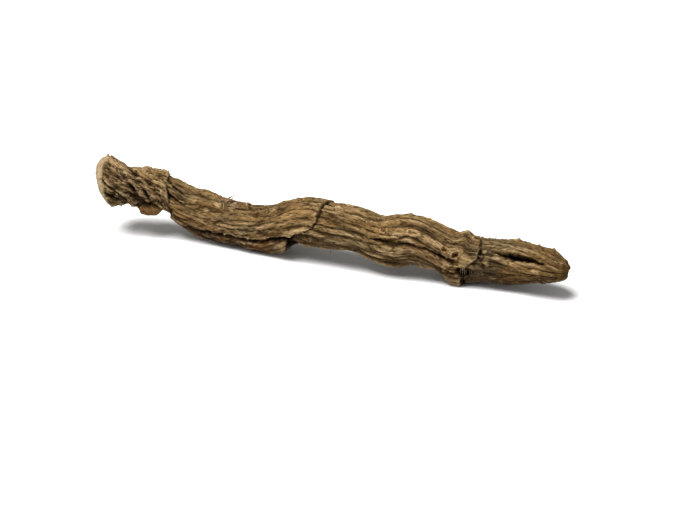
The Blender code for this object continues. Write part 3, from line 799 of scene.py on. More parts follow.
    def add_rootlet_scars(self, skin: Layers, at: Places) -> None:
        """Adds the rimmed pits of fallen rootlets, and pale healed scars where the pit is below 0.

        Args:
            skin: Layers that it adds to.
            at: Places on the skin.
        """
        uneven = at.grained(self.scar_edge)
        flecked = ease(0.95 + at.grained(self.scar_flecks))
        for scar in ROOTLET_SCARS:
            rim, pit = scar[4:]
            away = at.away(scar) + uneven
            open_share = ease(np.array(pit))
            inside = within(away, self.pit_share + 0.5 * self.pit_wall, self.pit_wall)
            skin.crease *= 1 - 0.8 * within(away, 1.6)
            skin.split *= 1 - 0.9 * within(away, 1.6)
            # Painted highlight on the rim, painted shade in the groove round it and at the pit's wall.
            skin.add(bell(away, self.rim_place, self.rim_width), relief=rim, pale=rim)
            skin.add(bell(away, self.moat_place, self.rim_width), relief=-0.45 * rim, crease=1.2 * rim)
            skin.add(bell(away, self.pit_share, 0.5 * self.pit_wall), crease=0.5 * open_share)
            skin.add(inside, relief=-pit, pit=ease(np.array(1.4 * pit - 0.3)))
            skin.add(inside * flecked, pale=0.95 * (pit < 0.0))
            # A dark core in the pit's middle, partly painted shade.
            skin.add(within(away, 0.36, 0.25), split=0.7 * open_share)

    def add_leaf_scars(self, skin: Layers, at: Places) -> None:
        """Adds the bent ridges of fallen leaves, each stepping down to a dark line of painted shade behind
        it.

        Args:
            skin: Layers that it adds to.
            at: Places on the skin.
        """
        for place, middle, span, height in LEAF_SCARS:
            aside = np.abs(wrap(at.angle - middle)) / span
            level = at.ring(place)
            bent = at.along - place - self.leaf_bend * aside**1.5 - level.grained(self.leaf_wave)
            ridge = bell(bent, 0.0, self.leaf_width)
            step = self.leaf_step * groove(bent, self.leaf_fade) * (bent < 0)
            there = np.clip(0.75 + level.grained(self.leaf_gaps), 0.0, 1.2) * within(aside, 1.1, 0.7)
            skin.add(there * (ridge + step), relief=height)
            skin.add(there * ridge, pale=0.5)
            # Painted shade at the foot of the ridge.
            skin.add(there * bell(bent, 0.8, 0.35), split=0.8)

    def add_stub(self, skin: Layers, at: Places) -> None:
        """Adds the flat-topped stump of a side shoot, with a crease round its foot painted black as shade.

        Args:
            skin: Layers that it adds to.
            at: Places on the skin.
        """
        away = at.away(self.stub)
        skin.add(within(away, 1.05, 0.4), relief=self.stub[4])
        skin.add(within(away, 0.95, 0.15), stub=1.0)
        # Painted shade: the crease round the stump's foot is painted black.
        skin.add(bell(away, 1.15, 0.12), relief=-0.5, split=0.8)

    def add_hollow_shade_and_crest_highlight(self, skin: Layers) -> None:
        """Paints shade into hollows and paints crests pale, a painted highlight that also stands for wear, by
        how far they lie from the evened relief.

        Every mask is then held between 0 and 1.

        Args:
            skin: Layers on the whole grid, that it adds to.
        """
        for reach, dark, crest_highlight_and_wear in self.hollow_shade_reaches:
            above = skin.relief - smooth(skin.relief, reach, reach)
            # Painted shade in hollows, and crests painted pale, partly painted highlight and partly wear.
            skin.add(ease(-above / 0.7), crease=dark)
            skin.add(ease((above - 0.12) / 0.5), pale=crest_highlight_and_wear)
        for item in fields(skin):
            if item.name != "relief":
                setattr(skin, item.name, np.clip(getattr(skin, item.name), 0.0, 1.0))

    def layers(self, at: Places) -> Layers:
        """All the relief and masks of the skin at the given places, before shade is painted into hollows and
        crests painted pale.

        Args:
            at: Places on the skin.

        Returns:
            The layers.
        """
        skin = Layers.blank(at.along)
        skin.relief += at.grained(self.swell)
        calm = 1.0 - 0.9 * within(at.away(self.stub), 1.3)
        self.add_creases(skin, at, calm)
        self.add_plates(skin, at, calm)
        self.add_nodes(skin, at, calm)
        self.add_splits(skin, at)
        for hollow in HOLLOWS:
            # Painted shade: a narrow hollow is painted black inside.
            hollow_shade = 0.9 * (hollow[3] < NARROW_HOLLOW)
            skin.add(within(at.away(hollow), 1.1), relief=-hollow[4], split=hollow_shade)
        self.add_rootlet_scars(skin, at)
        self.add_leaf_scars(skin, at)
        uneven = at.grained(self.stain_and_shade_edge)
        for spot in TORN_SPOTS:
            # Painted shade: torn places are painted black inside.
            skin.add(within(at.away(spot) - uneven, 1.3), split=spot[4])
        self.add_stub(skin, at)
        ragged = at.ring(0.0).grained(self.end_edge)
        skin.cut += ease((CUT_PLACE + self.rim_length + ragged - at.along) / 0.5 + 0.5)
        skin.tip += ease((at.along - TIP_PLACE + 1.5 * ragged) / self.tip_length + 1.0)
        # Stains of grey, rust and gold, and dark patches that are partly painted shade on the lower side.
        for name, tinted_patches in STAINS_AND_SHADE.items():
            for tinted_patch in tinted_patches:
                skin.add(within(at.away(tinted_patch) - uneven, 1.4), **{name: tinted_patch[4]})
        skin.relief *= 1.0 - 0.85 * skin.cut
        skin.relief += at.grained(self.dust)
        # Painted shade: the tone is darkened towards the underside.
        skin.tone -= self.underside_shade * ease(0.35 - 0.8 * np.sin(np.radians(at.angle)))
        return skin


# Meshes


def linked(name: str, data: bpy.types.ID) -> bpy.types.Object:
    """Makes an object and links it to the scene.

    Args:
        name: The object's name.
        data: Its mesh, light or camera.

    Returns:
        The object.
    """
    made = bpy.data.objects.new(name, data)
    bpy.context.collection.objects.link(made)
    return made


def mesh_object(name: str, points: Array, faces: Array, masks: dict[str, Array]) -> bpy.types.Object:
    """Makes a smooth mesh object from arrays.

    Args:
        name: The object's name.
        points: Corners in millimetres.
        faces: Four corner numbers to a face. A repeated last number marks a triangle.
        masks: One number, or three, to a corner under each attribute name.

    Returns:
        The object, linked to the scene.
    """
    mesh = bpy.data.meshes.new(name)
    triangle = faces[:, 2] == faces[:, 3]
    counts = np.where(triangle, 3, 4)
    keep = np.ones(faces.shape, bool)
    keep[triangle, 3] = False
    mesh.vertices.add(len(points))
    mesh.vertices.foreach_set("co", (points * MM).astype(np.float32).ravel())
    mesh.loops.add(int(counts.sum()))
    mesh.loops.foreach_set("vertex_index", faces[keep].astype(np.int32))
    mesh.polygons.add(len(faces))
    mesh.polygons.foreach_set("loop_start", (np.cumsum(counts) - counts).astype(np.int32))
    mesh.update(calc_edges=True)
    mesh.validate()
    mesh.shade_smooth()
    for key, values in masks.items():
        kind, slot = ("FLOAT_VECTOR", "vector") if values.ndim == 2 else ("FLOAT", "value")
        layer = mesh.attributes.new(key, kind, "POINT")
        layer.data.foreach_set(slot, values.astype(np.float32).ravel())
    return linked(name, mesh)


def ring_faces(rows: int, count: int, offset: int = 0) -> Array:
    """Faces of a closed tube of rings whose ends shrink to the two points after its rings.

    Args:
        rows: How many rings it has.
        count: Points to a ring.
        offset: Number of the tube's first point.

    Returns:
        Four corner numbers to a face, with end triangles repeating their last.
    """
    around = np.arange(count)
    onward = (around + 1) % count
    start = np.arange(rows - 1)[:, None] * count
    quads = np.stack(
        [start + around, start + onward, start + count + onward, start + count + around], axis=-1
    ).reshape(-1, 4)
    last = (rows - 1) * count
    first_pole = np.full(count, rows * count)
    last_pole = first_pole + 1
    near = np.stack([first_pole, onward, around, around], axis=-1)
    far = np.stack([last_pole, last + around, last + onward, last + onward], axis=-1)
    return np.concatenate([quads, near, far]) + offset


@dataclass
class Rootstock:
    """The root's body: rings round its bent centre line, and its two closed ends."""

    skin: Skin = field(default_factory=Skin)
    ring_count: int = 590
    ring_points: int = 160
    bed_height: float = -12.6
    cut_turn: float = 11.0
    cut_rise: float = 8.0
    cut_dome: Row = (2.7, 2.6, 0.5, 0.45)
    tip_dome: Row = (1.5, 2.0, 0.0, 1.2)
    end_drop: float = -6.0
    end_blend: float = 14.0
    slope_reach: float = 6.0
    end_shares: tuple[float, ...] = (
        0.985, 0.96, 0.92, 0.86, 0.79, 0.71, 0.62, 0.52, 0.42, 0.32, 0.22, 0.12, 0.05
    )
    shift: Array = field(default_factory=lambda: np.zeros(3))

    @staticmethod
    def centre(along: Array) -> Array:
        """Points of the centre line at places along the stem."""
        return np.stack([along, read_curve(STATIONS, 1, along), read_curve(STATIONS, 2, along)], axis=-1)

    def frames(self, along: Array) -> tuple[Array, Array, Array, Array]:
        """Centre, axis, sideways and upward directions of the ring at each place.

        The axis follows the centre line's slope, and turns to the cut's own direction at
        the cut end and to the far end's at the far end.

        Args:
            along: Places along the stem, in one row.

        Returns:
            Four arrays of directions, three numbers to a place.
        """
        before = self.centre(np.maximum(along - self.slope_reach, CUT_PLACE))
        after = self.centre(np.minimum(along + self.slope_reach, TIP_PLACE))
        axis = unit(after - before)
        cut_share = np.clip(1 - (along - CUT_PLACE) / self.end_blend, 0, 1)[:, None] ** 1.5
        end_share = np.clip(1 - (TIP_PLACE - along) / self.end_blend, 0, 1)[:, None] ** 1.5
        at_cut = heading(self.cut_turn, self.cut_rise) * cut_share
        at_end = heading(0.0, -self.end_drop) * end_share
        axis = unit(axis * (1 - cut_share - end_share) + at_cut + at_end)
        upward = unit(np.array([0.0, 0.0, 1.0]) - axis * axis[:, 2:3])
        return self.centre(along), axis, np.cross(axis, upward), upward

    def surface(self, at: Places) -> tuple[Array, Layers]:
        """Points of the skin: the ring's centre plus its oval section and relief.

        Args:
            at: Places on the skin, as a grid or a single column.

        Returns:
            Points in millimetres before the root is set on its bed, and the skin's layers.
        """
        layers = self.skin.layers(at)
        centre, _, side, upward = self.frames(at.along[:, 0])
        turned = np.radians(at.angle)
        half_height = read_curve(STATIONS, 3, at.along) + layers.relief
        half_depth = read_curve(STATIONS, 4, at.along) + layers.relief
        points = (
            centre[:, None]
            + side[:, None] * (half_depth * np.cos(turned))[..., None]
            + upward[:, None] * (half_height * np.sin(turned))[..., None]
        )
        return points, layers

    @staticmethod
    def dome_lift(dome: Row, share: float | Array) -> float | Array:
        """Height of an end's dome: its bulge times the root of 1 minus share to its power."""
        return dome[0] * (1 - share**dome[1]) ** 0.5

    def end_rings(self, ring: Array, axis: Array, dome: Row, seed: int) -> list[Array]:
        """Rings that close an end: the rim drawn in to its middle, domed and roughened.

        Args:
            ring: The end's rim.
            axis: Direction that the end faces.
            dome: Its height, how flat its middle is, how much higher its upper half is, and
                the height of the coarse tissue.
            seed: Which noise roughens it.

        Returns:
            Rings from the rim inward.
        """
        _, _, lean, rough = dome
        middle = ring.mean(axis=0)
        rings = []
        for share in self.end_shares:
            points = middle + (ring - middle) * share
            upper = 1.0 + lean * (points[:, 2] - middle[2]) / GIRTH_RADIUS
            lift = self.dome_lift(dome, share) * upper + rough * noise(points / 1.6, seed) * (1 - share**6)
            lift += 0.25 * rough * noise(points / 0.5, seed + 1) * (1 - share**12)
            rings.append(points + axis * lift[:, None])
        return rings

    def build(self) -> bpy.types.Object:
        """Builds the whole body with its masks, set on its bed.

        Returns:
            The rhizome's object.
        """
        row = np.linspace(CUT_PLACE, TIP_PLACE, self.ring_count)
        turn = np.linspace(-180.0, 180.0, self.ring_points, endpoint=False)
        at = Places(*np.meshgrid(row, turn, indexing="ij"))
        rings, layers = self.surface(at)
        # Paints shade into hollows and pale onto crests.
        self.skin.add_hollow_shade_and_crest_highlight(layers)
        _, axis, _, _ = self.frames(row)
        cut = self.end_rings(rings[0], -axis[0], self.cut_dome, 91)[::-1]
        tip = self.end_rings(rings[-1], axis[-1], self.tip_dome, 93)
        body = np.concatenate([np.array(cut), rings, np.array(tip)])
        poles = np.stack([body[0].mean(axis=0), body[-1].mean(axis=0)])
        points = np.concatenate([body.reshape(-1, 3), poles])
        self.shift = (points.min(axis=0) + points.max(axis=0)) / 2
        self.shift[2] = self.bed_height
        faces = ring_faces(len(body), self.ring_points)
        return mesh_object("rhizome_bark", self.set_down(points), faces, self.masks(layers, at))

    def set_down(self, points: Array) -> Array:
        """The points moved onto the root's bed, with none of them below it."""
        return np.maximum(points - self.shift, (-np.inf, -np.inf, 0.0))

    def masks(self, layers: Layers, at: Places) -> dict[str, Array]:
        """Carries the skin's masks over the closed ends and adds the ends' own.

        Args:
            layers: The skin's layers.
            at: Places on the skin.

        Returns:
            One array to a mask, in the order of the mesh's points.
        """
        shares = np.array(self.end_shares)[:, None]
        ends = len(self.end_shares)
        made: dict[str, Array] = {}
        for item in fields(layers):
            values = getattr(layers, item.name)
            near = np.zeros((ends, self.ring_points))
            made[item.name] = np.concatenate([near, values, values[-1:] * shares**3]).ravel()
        del made["relief"]
        made["cut"][: ends * self.ring_points] = 1.0
        made["tip"][-ends * self.ring_points:] = 0.8
        poles = {"cut": (1.0, 0.0), "tip": (0.0, 1.0), "tone": (0.5, 0.5)}
        for key, values in made.items():
            made[key] = np.concatenate([values, poles.get(key, (0.0, 0.0))])
        radius = np.concatenate([shares[::-1], np.ones((len(at.along), 1)), shares]) * GIRTH_RADIUS
        near_place = at.along[:1] - self.dome_lift(self.cut_dome, shares[::-1])
        far_place = at.along[-1:] + self.dome_lift(self.tip_dome, shares)
        whole = Places(
            np.concatenate([near_place, at.along, far_place]),
            np.concatenate([at.angle[:ends], at.angle, at.angle[:ends]]),
        )
        straight = whole.turned(-self.turned_grain(whole)).on_stem(radius)
        middles = [(CUT_PLACE, 0.0, 0.0), (TIP_PLACE, 0.0, 0.0)]
        made["straight"] = np.concatenate([straight.reshape(-1, 3), middles])
        return made

    def turned_grain(self, at: Places) -> Array:
        """Degrees that the grain has turned at each place, from each stretch's own twist."""
        parts = zip(self.skin.weights(at), self.skin.stretches)
        return sum(weight * part.twist * (at.along - part.middle) for weight, part in parts)


@dataclass(frozen=True)
class Clump:
    """Loose fibres in one place: where, how many, how long and how widely spread, in mm.

    lift is how steeply they stand off the skin, and lean how far they follow the grain.
    """

    place: float
    angle: float
    count: int
    length: float
    spread: float
    lift: float
    lean: float
    thickness: float


@dataclass
class Fibres:
    """Loose fibres and dried rootlets that stand off the skin.

    scatter is how widely their places and directions vary. longest and thickest hold how much
    their sizes vary, and the least and the most share of the clump's own. droop is how far
    they bend back, curled how far they turn aside, sunk how deep in mm they start under the
    skin, and taper the share of their thickness that is lost at the tip.
    """

    rootstock: Rootstock
    clumps: tuple[Clump, ...] = (
        Clump(-38.2, 86.0, 18, 4.4, 1.7, 0.70, 0.5, 0.16),
        Clump(-35.0, 80.0, 14, 3.6, 1.6, 0.45, 0.6, 0.14),
        Clump(43.4, -7.0, 26, 3.4, 1.8, 0.55, 0.1, 0.06),
        Clump(46.5, 30.0, 8, 1.8, 1.4, 0.45, 0.5, 0.09),
        Clump(-58.2, 50.0, 10, 2.0, 3.2, 0.40, 0.6, 0.09),
        Clump(-66.0, 20.0, 14, 2.2, 4.5, 0.35, 0.8, 0.09),
        Clump(-10.0, -62.0, 12, 3.2, 3.0, 0.45, 0.8, 0.09),
        Clump(-59.0, 150.0, 14, 3.4, 4.0, 0.45, 0.7, 0.09),
        Clump(46.0, 150.0, 14, 3.0, 4.0, 0.45, 0.7, 0.09),
        Clump(12.0, 165.0, 12, 3.0, 4.0, 0.40, 0.8, 0.09),
        Clump(-2.0, -115.0, 8, 3.0, 0.7, 0.90, 0.3, 0.12),
        Clump(58.0, -110.0, 7, 2.6, 0.7, 0.90, 0.3, 0.12),
        Clump(71.0, 60.0, 10, 1.6, 2.0, 0.40, 0.9, 0.09),
    )
    rings: int = 9
    sides: int = 6
    seed: int = 7
    scatter: float = 0.6
    longest: Row = (0.35, 0.4, 1.8)
    thickest: Row = (0.25, 0.6, 1.5)
    droop: float = 0.55
    curled: float = 0.5
    sunk: float = 0.25
    taper: float = 0.75

    @staticmethod
    def varied(size: float, limits: Row, drawn: float) -> float:
        """A size varied by a drawn number, between its least and its most share."""
        return size * float(np.clip(1.0 + limits[0] * drawn, limits[1], limits[2]))

    def roots(self) -> Array:
        """Draws every fibre's own place, length, thickness and direction numbers.

        Returns:
            Eight rows, one number to a fibre: place along the stem, angle, length,
            thickness, lift off the skin, lean along the grain, swing aside and curl.
        """
        draw = np.random.default_rng(self.seed)
        rows = []
        for clump in self.clumps:
            wide = math.degrees(clump.spread / GIRTH_RADIUS)
            for _ in range(clump.count):
                aside, across, longer, thicker, turn, curl = draw.normal(size=6)
                rows.append((
                    min(clump.place + self.scatter * clump.spread * aside, TIP_PLACE - 0.5),
                    clump.angle + self.scatter * wide * across,
                    self.varied(clump.length, self.longest, longer),
                    self.varied(clump.thickness, self.thickest, thicker),
                    clump.lift,
                    clump.lean,
                    self.scatter * turn,
                    curl,
                ))
        return np.array(rows).T

    def build(self) -> bpy.types.Object:
        """Builds all fibres as one mesh of tapered closed tubes.

        Each fibre leaves the skin along its own direction and bends back towards the skin
        by the square of how far along it a point lies.

        Returns:
            The fibres' object.
        """
        place, angle, length, thick, *ways = self.roots()
        lift, lean, swing, curl = (way[:, None, None] for way in ways)
        here, _ = self.rootstock.surface(Places(place[:, None], angle[:, None]))
        centre, grain_way, _, _ = self.rootstock.frames(place)
        start = here[:, 0]
        outward = start - centre
        outward = unit(outward - grain_way * np.sum(outward * grain_way, axis=-1, keepdims=True))
        sideways = np.cross(grain_way, outward)
        share = np.linspace(0.0, 1.0, self.rings)[None, :, None]
        reach = length[:, None, None] * share
        bend = length[:, None, None] * share**2
        rise = outward[:, None] * (lift * (reach - self.droop * bend) - self.sunk)
        run = grain_way[:, None] * lean * reach
        aside = sideways[:, None] * (swing * reach + self.curled * curl * bend)
        middle = start[:, None] + rise + run + aside
        forward = unit(np.gradient(middle, axis=1))
        first = unit(np.cross(forward, outward[:, None] + 0.1 * sideways[:, None]))
        second = np.cross(forward, first)
        turn = np.linspace(0.0, 2 * math.pi, self.sides, endpoint=False)[None, None, :, None]
        radius = (thick[:, None, None] * (1.0 - self.taper * share**1.5))[..., None]
        round_it = first[:, :, None] * np.cos(turn) + second[:, :, None] * np.sin(turn)
        tube = middle[:, :, None] + radius * round_it
        count = len(place)
        body = np.concatenate([tube.reshape(count, -1, 3), middle[:, :1], middle[:, -1:]], axis=1)
        faces = ring_faces(self.rings, self.sides)
        size = body.shape[1]
        every = (faces[None] + (np.arange(count) * size)[:, None, None]).reshape(-1, 4)
        return mesh_object("loose_fibres", self.rootstock.set_down(body.reshape(-1, 3)), every, {})


# Finishes


@dataclass
class NodeSketch:
    """Places and joins shader nodes in one tree."""

    tree: bpy.types.NodeTree

    def feed(self, node: bpy.types.Node, name: str | int, value: object) -> None:
        """Sets an input, or links it when the value is another node's output.

        Args:
            node: The node.
            name: The input's name or number.
            value: What it takes.
        """
        if isinstance(value, Socket):
            self.tree.links.new(value, node.inputs[name])
        else:
            node.inputs[name].default_value = value

    def add(self, kind: str, *inputs: object, **settings: object) -> bpy.types.Node:
        """Adds a node and sets its options and its inputs.

        Args:
            kind: Blender's type name of the node.
            inputs: The node's first inputs, in order.
            settings: Options by name, and inputs by name with spaces as underscores.

        Returns:
            The node.
        """
        node = self.tree.nodes.new(kind)
        options = [key for key in settings if hasattr(node, key)]
        for key in options:
            setattr(node, key, settings[key])
        for key, value in settings.items():
            if key not in options:
                self.feed(node, key.replace("_", " "), value)
        for number, value in enumerate(inputs):
            self.feed(node, number, value)
        return node

    def math(self, operation: str, *inputs: object, clamp: bool = False) -> Socket:
        """Output of a Math node on numbers or outputs."""
        return self.add("ShaderNodeMath", *inputs, operation=operation, use_clamp=clamp).outputs[0]

    def blend(self, share: object, below: object, above: object) -> Socket:
        """Blends two colours.

        Args:
            share: How much of the upper colour shows, 0 to 1.
            below: The lower colour.
            above: The upper colour.

        Returns:
            The blend's output.
        """
        node = self.add("ShaderNodeMix", share, data_type="RGBA")
        self.feed(node, 6, below)
        self.feed(node, 7, above)
        return node.outputs[2]

    def tint(self, mask: object, share: object, below: object, above: object) -> Socket:
        """Blends a colour over another by the product of a mask and a share."""
        return self.blend(self.math("MULTIPLY", mask, share), below, above)

    def mask(self, name: str) -> Socket:
        """A number that the mesh carries under a name."""
        return self.add("ShaderNodeAttribute", attribute_name=name).outputs["Fac"]

    def ramp(self, value: object, stops: tuple[tuple[float, Colour], ...]) -> Socket:
        """Turns a number into a colour.

        Args:
            value: The number.
            stops: Each stop's number and colour, in order.

        Returns:
            The ramp's output.
        """
        node = self.add("ShaderNodeValToRGB", value)
        elements = node.color_ramp.elements
        while len(elements) < len(stops):
            elements.new(0.5)
        for element, (position, colour) in zip(elements, stops):
            element.position = position
            element.color = colour
        return node.outputs[0]

    def fade(self, value: object, start: Row, end: Row) -> Socket:
        """A share that fades from one level to another. Both ends give the value and the level."""
        return self.ramp(value, tuple((at, (level, level, level, 1.0)) for at, level in (start, end)))

    def grain(self, place: object, sizes: Row) -> Socket:
        """Mask of the grain group, with its size along and across the grain, and its detail."""
        named = dict(zip(("Length", "Width", "Detail"), sizes))
        return self.add("ShaderNodeGroup", node_tree=grain_group(), Place=place, **named).outputs["Mask"]


def grain_group() -> bpy.types.NodeTree:
    """Shader group of grain: noise of a given length and width, by straightened place.

    Returns:
        The node group, with inputs Place, Length, Width and Detail, and the output Mask.
    """
    found = bpy.data.node_groups.get("stem_grain")
    if found:
        return found
    group = bpy.data.node_groups.new("stem_grain", "ShaderNodeTree")
    group.interface.new_socket("Place", in_out="INPUT", socket_type="NodeSocketVector")
    for name in ("Length", "Width", "Detail"):
        group.interface.new_socket(name, in_out="INPUT", socket_type="NodeSocketFloat")
    group.interface.new_socket("Mask", in_out="OUTPUT", socket_type="NodeSocketFloat")
    sketch = NodeSketch(group)
    given = sketch.add("NodeGroupInput").outputs
    sizes = sketch.add("ShaderNodeCombineXYZ", given["Length"], given["Width"], given["Width"])
    scaled = sketch.add("ShaderNodeVectorMath", given["Place"], sizes.outputs[0], operation="DIVIDE")
    spread = sketch.add(
        "ShaderNodeTexNoise", Vector=scaled.outputs[0], Scale=1.0, Detail=given["Detail"], Roughness=0.6
    )
    sketch.add("NodeGroupOutput", Mask=spread.outputs["Fac"])
    return group


def empty_material(name: str) -> tuple[bpy.types.Material, NodeSketch]:
    """Makes a material with no nodes yet.

    Args:
        name: The material's name.

    Returns:
        The material, and the sketch that adds its nodes.
    """
    made = bpy.data.materials.new(name)
    made.use_nodes = True
    made.node_tree.nodes.clear()
    return made, NodeSketch(made.node_tree)


@dataclass(frozen=True)
class BarkFinish:
    """Dry tan bark with creases and splits darkened by painted shade, pale scars and painted highlights, and
    a cream cut end.

    Each grain holds its size along the stem and across it in mm, and how many finer layers
    it has. The patch strengths say how strongly each mask's patches cover the bark; the dark ones are partly
    painted shade.
    """

    # shade is the dark end of the bark's tone, which the underside's painted shade reaches.
    shade: Colour = srgb(60, 41, 18)
    tan: Colour = srgb(118, 92, 56)
    light: Colour = srgb(160, 131, 88)
    grey: Colour = srgb(94, 83, 60)
    ochre: Colour = srgb(130, 93, 46)
    # dark paints shade into creases and hollows, and colours dark threads and the dark patches, which are
    # partly painted shade.
    dark: Colour = srgb(38, 23, 7)
    # Near black of the painted shade in splits, cracks and hollows.
    split: Colour = srgb(12, 7, 2)
    # Pale of healed scars and worn crests, and of painted highlights on edges and rims.
    pale: Colour = srgb(194, 165, 122)
    pit: Colour = srgb(190, 142, 90)
    rust: Colour = srgb(80, 48, 22)
    gold: Colour = srgb(146, 112, 64)
    # The stump's own orange-brown, darkened as painted shade for its place on the lower side.
    stub: Colour = srgb(88, 53, 12)
    cream: Colour = srgb(138, 121, 94)
    pith: Colour = srgb(186, 168, 136)
    bundle: Colour = srgb(104, 84, 56)
    tip: Colour = srgb(122, 92, 52)
    streak_grain: Row = (5.0, 0.9, 4.0)
    thread_grain: Row = (1.5, 0.32, 2.0)
    patch_grain: Row = (14.0, 6.0, 2.0)
    warmth_grain: Row = (20.0, 4.0, 1.0)
    gloss_grain: Row = (3.0, 0.8, 3.0)
    fibre_grain: Row = (1.8, 0.32, 3.0)
    pore_grain: Row = (0.6, 0.40, 2.0)
    contrast: float = 0.7
    stains_and_shade: tuple[tuple[str, float], ...] = (("grey", 0.65), ("gold", 0.6), ("rust", 0.75), ("dark", 1.0))
    pith_radius: float = 5.6
    ring_radius: float = 4.4
    bundle_radius: float = 0.22
    bump_depth: float = 0.0010

    def colour(self, sketch: NodeSketch, place: Socket) -> Socket:
        """Colour of the skin and both ends.

        Args:
            sketch: The material's sketch.
            place: Straightened places.

        Returns:
            The colour's output.
        """
        streaks = sketch.grain(place, self.streak_grain)
        threads = sketch.grain(place, self.thread_grain)
        patches = sketch.grain(place, self.patch_grain)
        warmth = sketch.grain(place, self.warmth_grain)
        level = sketch.mask("tone")
        for ripple in (streaks, threads):
            evened = sketch.math("MULTIPLY_ADD", ripple, self.contrast, -0.5 * self.contrast)
            level = sketch.math("ADD", evened, level)
        skin = sketch.ramp(level, ((0.2, self.shade), (0.5, self.tan), (0.8, self.light)))
        skin = sketch.blend(sketch.fade(patches, (0.5, 0.0), (0.68, 0.65)), skin, self.grey)
        skin = sketch.blend(sketch.fade(warmth, (0.5, 0.0), (0.66, 0.45)), skin, self.ochre)
        # Stains, and dark patches that are partly painted shade.
        for name, share in self.stains_and_shade:
            skin = sketch.tint(sketch.mask(name), share, skin, getattr(self, name))
        # Pale scars and crests, and painted highlights on flake edges, lips and rims.
        skin = sketch.tint(sketch.mask("pale"), sketch.math("ADD", streaks, 0.1), skin, self.pale)
        skin = sketch.blend(sketch.fade(threads, (0.34, 0.9), (0.47, 0.0)), skin, self.dark)
        # Painted shade in creases and hollows.
        skin = sketch.tint(sketch.mask("crease"), 0.85, skin, self.dark)
        mottle = sketch.fade(threads, (0.4, 0.35), (0.6, 1.0))
        for name in ("pit", "stub", "tip"):
            skin = sketch.tint(sketch.mask(name), mottle, skin, getattr(self, name))
        # Painted shade, near black, in splits, cracks, narrow hollows and torn places.
        skin = sketch.blend(sketch.mask("split"), skin, self.split)
        return sketch.blend(sketch.mask("cut"), skin, self.tissue(sketch, place))

    def tissue(self, sketch: NodeSketch, place: Socket) -> Socket:
        """Colour of the cut end: spongy cream tissue, a darker ring and scattered bundles.

        Args:
            sketch: The material's sketch.
            place: Straightened places.

        Returns:
            The colour's output.
        """
        sponge = sketch.add("ShaderNodeTexNoise", Vector=place, Scale=1.6, Detail=4.0, Roughness=0.7)
        base = sketch.ramp(sponge.outputs["Fac"], ((0.30, self.bundle), (0.52, self.cream)))
        across = sketch.add("ShaderNodeSeparateXYZ", place).outputs
        square = sketch.math("MULTIPLY", across[2], across[2])
        radius = sketch.math("SQRT", sketch.math("MULTIPLY_ADD", across[1], across[1], square))
        core = sketch.math("MULTIPLY", sketch.math("SUBTRACT", self.pith_radius, radius), 1.2, clamp=True)
        base = sketch.tint(core, sponge.outputs["Fac"], base, self.pith)
        ring = sketch.math("ABSOLUTE", sketch.math("SUBTRACT", radius, self.ring_radius))
        ring = sketch.math("SUBTRACT", 1.0, sketch.math("MULTIPLY", ring, 2.6), clamp=True)
        base = sketch.tint(ring, 0.5, base, self.bundle)
        dots = sketch.add("ShaderNodeTexVoronoi", Vector=place, Scale=0.9)
        spot = sketch.math("LESS_THAN", dots.outputs["Distance"], self.bundle_radius)
        return sketch.tint(spot, 0.6, base, self.bundle)

    def material(self) -> bpy.types.Material:
        """Builds the material.

        Returns:
            The bark's material.
        """
        made, sketch = empty_material("calamus_bark")
        place = sketch.add("ShaderNodeAttribute", attribute_name="straight").outputs["Vector"]
        gloss = sketch.grain(place, self.gloss_grain)
        pores = sketch.math("MULTIPLY", sketch.grain(place, self.pore_grain), 0.6)
        height = sketch.math("ADD", sketch.grain(place, self.fibre_grain), pores)
        strength = sketch.math("SUBTRACT", 1.0, sketch.math("MULTIPLY", sketch.mask("cut"), 0.9))
        bump = sketch.add("ShaderNodeBump", Height=height, Strength=strength, Distance=self.bump_depth)
        shader = sketch.add(
            "ShaderNodeBsdfPrincipled",
            Base_Color=self.colour(sketch, place),
            Roughness=sketch.math("MULTIPLY_ADD", gloss, 0.3, 0.55),
            Specular_IOR_Level=0.04,
            Normal=bump.outputs[0],
        )
        sketch.add("ShaderNodeOutputMaterial", shader.outputs[0])
        return made


@dataclass(frozen=True)
class FibreFinish:
    """Dry straw-coloured fibre."""

    dark: Colour = srgb(92, 68, 42)
    light: Colour = srgb(160, 134, 98)

    def material(self) -> bpy.types.Material:
        """Builds the material.

        Returns:
            The fibres' material.
        """
        made, sketch = empty_material("root_fibre")
        place = sketch.add("ShaderNodeTexCoord").outputs["Object"]
        mottle = sketch.add("ShaderNodeTexNoise", Vector=place, Scale=900.0, Detail=2.0)
        colour = sketch.ramp(mottle.outputs["Fac"], ((0.35, self.dark), (0.65, self.light)))
        shader = sketch.add("ShaderNodeBsdfPrincipled", Base_Color=colour, Roughness=0.8)
        sketch.add("ShaderNodeOutputMaterial", shader.outputs[0])
        return made


# Surroundings


@dataclass(frozen=True)
class Lamp:
    """A soft square light that points at the root: its side in metres, its power in watts."""

    name: str
    place: Row
    side: float
    power: float

    def build(self) -> None:
        """Hangs the light at its place."""
        data = bpy.data.lights.new(self.name, "AREA")
        data.size = self.side
        data.energy = self.power
        made = linked(self.name, data)
        made.location = self.place
        made.rotation_euler = (-Vector(self.place)).to_track_quat("-Z", "Y").to_euler()


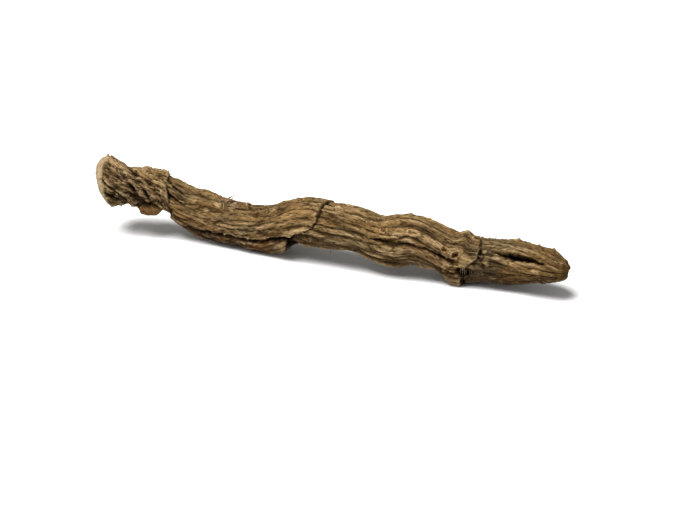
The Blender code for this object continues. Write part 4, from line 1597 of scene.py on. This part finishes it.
@dataclass(frozen=True)
class Studio:
    """Plain pale floor, soft light and the camera, in metres and degrees."""

    azimuth: float = 21.0
    elevation: float = 25.0
    distance: float = 0.584
    lens: float = 100.0
    aim: Row = (0.00525, -0.00196, 0.00363)
    lamps: tuple[Lamp, ...] = (
        Lamp("key", (-0.20, -0.25, 0.85), 0.55, 18.0),
        Lamp("fill", (-0.5, -0.6, 0.35), 0.6, 0.9),
    )
    room_strength: float = 0.30
    floor_colour: Colour = (0.86, 0.86, 0.85, 1.0)
    floor_radius: float = 4.0
    floor_sides: int = 96
    floor_drop: float = 0.00005

    def camera(self) -> None:
        """Places the camera at the photograph's angle on the root."""
        back, right = heading(self.azimuth - 90.0, self.elevation), heading(self.azimuth, 0.0)
        place = np.array(self.aim) + back * self.distance
        data = bpy.data.cameras.new("camera")
        data.lens = self.lens
        data.clip_start = 0.01
        made = linked("camera", data)
        columns = np.stack([right, np.cross(back, right), back, place], axis=1)
        made.matrix_world = Matrix(columns.tolist() + [[0.0, 0.0, 0.0, 1.0]])
        bpy.context.scene.camera = made

    def floor(self) -> None:
        """Adds the floor, a wide plain disc just under the root."""
        angle = np.linspace(0, 2 * math.pi, self.floor_sides, endpoint=False)
        ring = np.stack([np.cos(angle), np.sin(angle), angle * 0], axis=-1) * self.floor_radius
        mesh = bpy.data.meshes.new("floor")
        mesh.from_pydata(ring.tolist(), [], [list(range(self.floor_sides))])
        made = linked("floor", mesh)
        made.location.z = -self.floor_drop
        material, sketch = empty_material("pale_floor")
        shader = sketch.add("ShaderNodeBsdfPrincipled", Base_Color=self.floor_colour, Roughness=0.9)
        sketch.add("ShaderNodeOutputMaterial", shader.outputs[0])
        mesh.materials.append(material)

    def build(self) -> None:
        """Builds camera, floor, lights and the pale surroundings."""
        self.camera()
        self.floor()
        for lamp in self.lamps:
            lamp.build()
        world = bpy.data.worlds.new("pale_room")
        world.use_nodes = True
        background = world.node_tree.nodes["Background"]
        background.inputs["Color"].default_value = (1.0, 1.0, 1.0, 1.0)
        background.inputs["Strength"].default_value = self.room_strength
        bpy.context.scene.world = world
        bpy.context.scene.view_settings.view_transform = "Standard"


def main() -> None:
    """Builds the dressed root and its surroundings."""
    logging.basicConfig(level=logging.INFO, format="%(name)s: %(message)s")
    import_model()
    Studio().build()
    rootstock = Rootstock()
    bark = rootstock.build()
    bark.data.materials.append(BarkFinish().material())
    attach(bark, "root")
    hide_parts("rhizome")
    barks = ", ".join(part.bark.value for part in rootstock.skin.stretches)
    LOG.info("rhizome_bark: %d faces, %s", len(bark.data.polygons), barks)
    fibres = Fibres(rootstock).build()
    fibres.data.materials.append(FibreFinish().material())
    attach(fibres, "root")
    LOG.info("loose_fibres: %d faces", len(fibres.data.polygons))


if __name__ == "__main__":
    main()
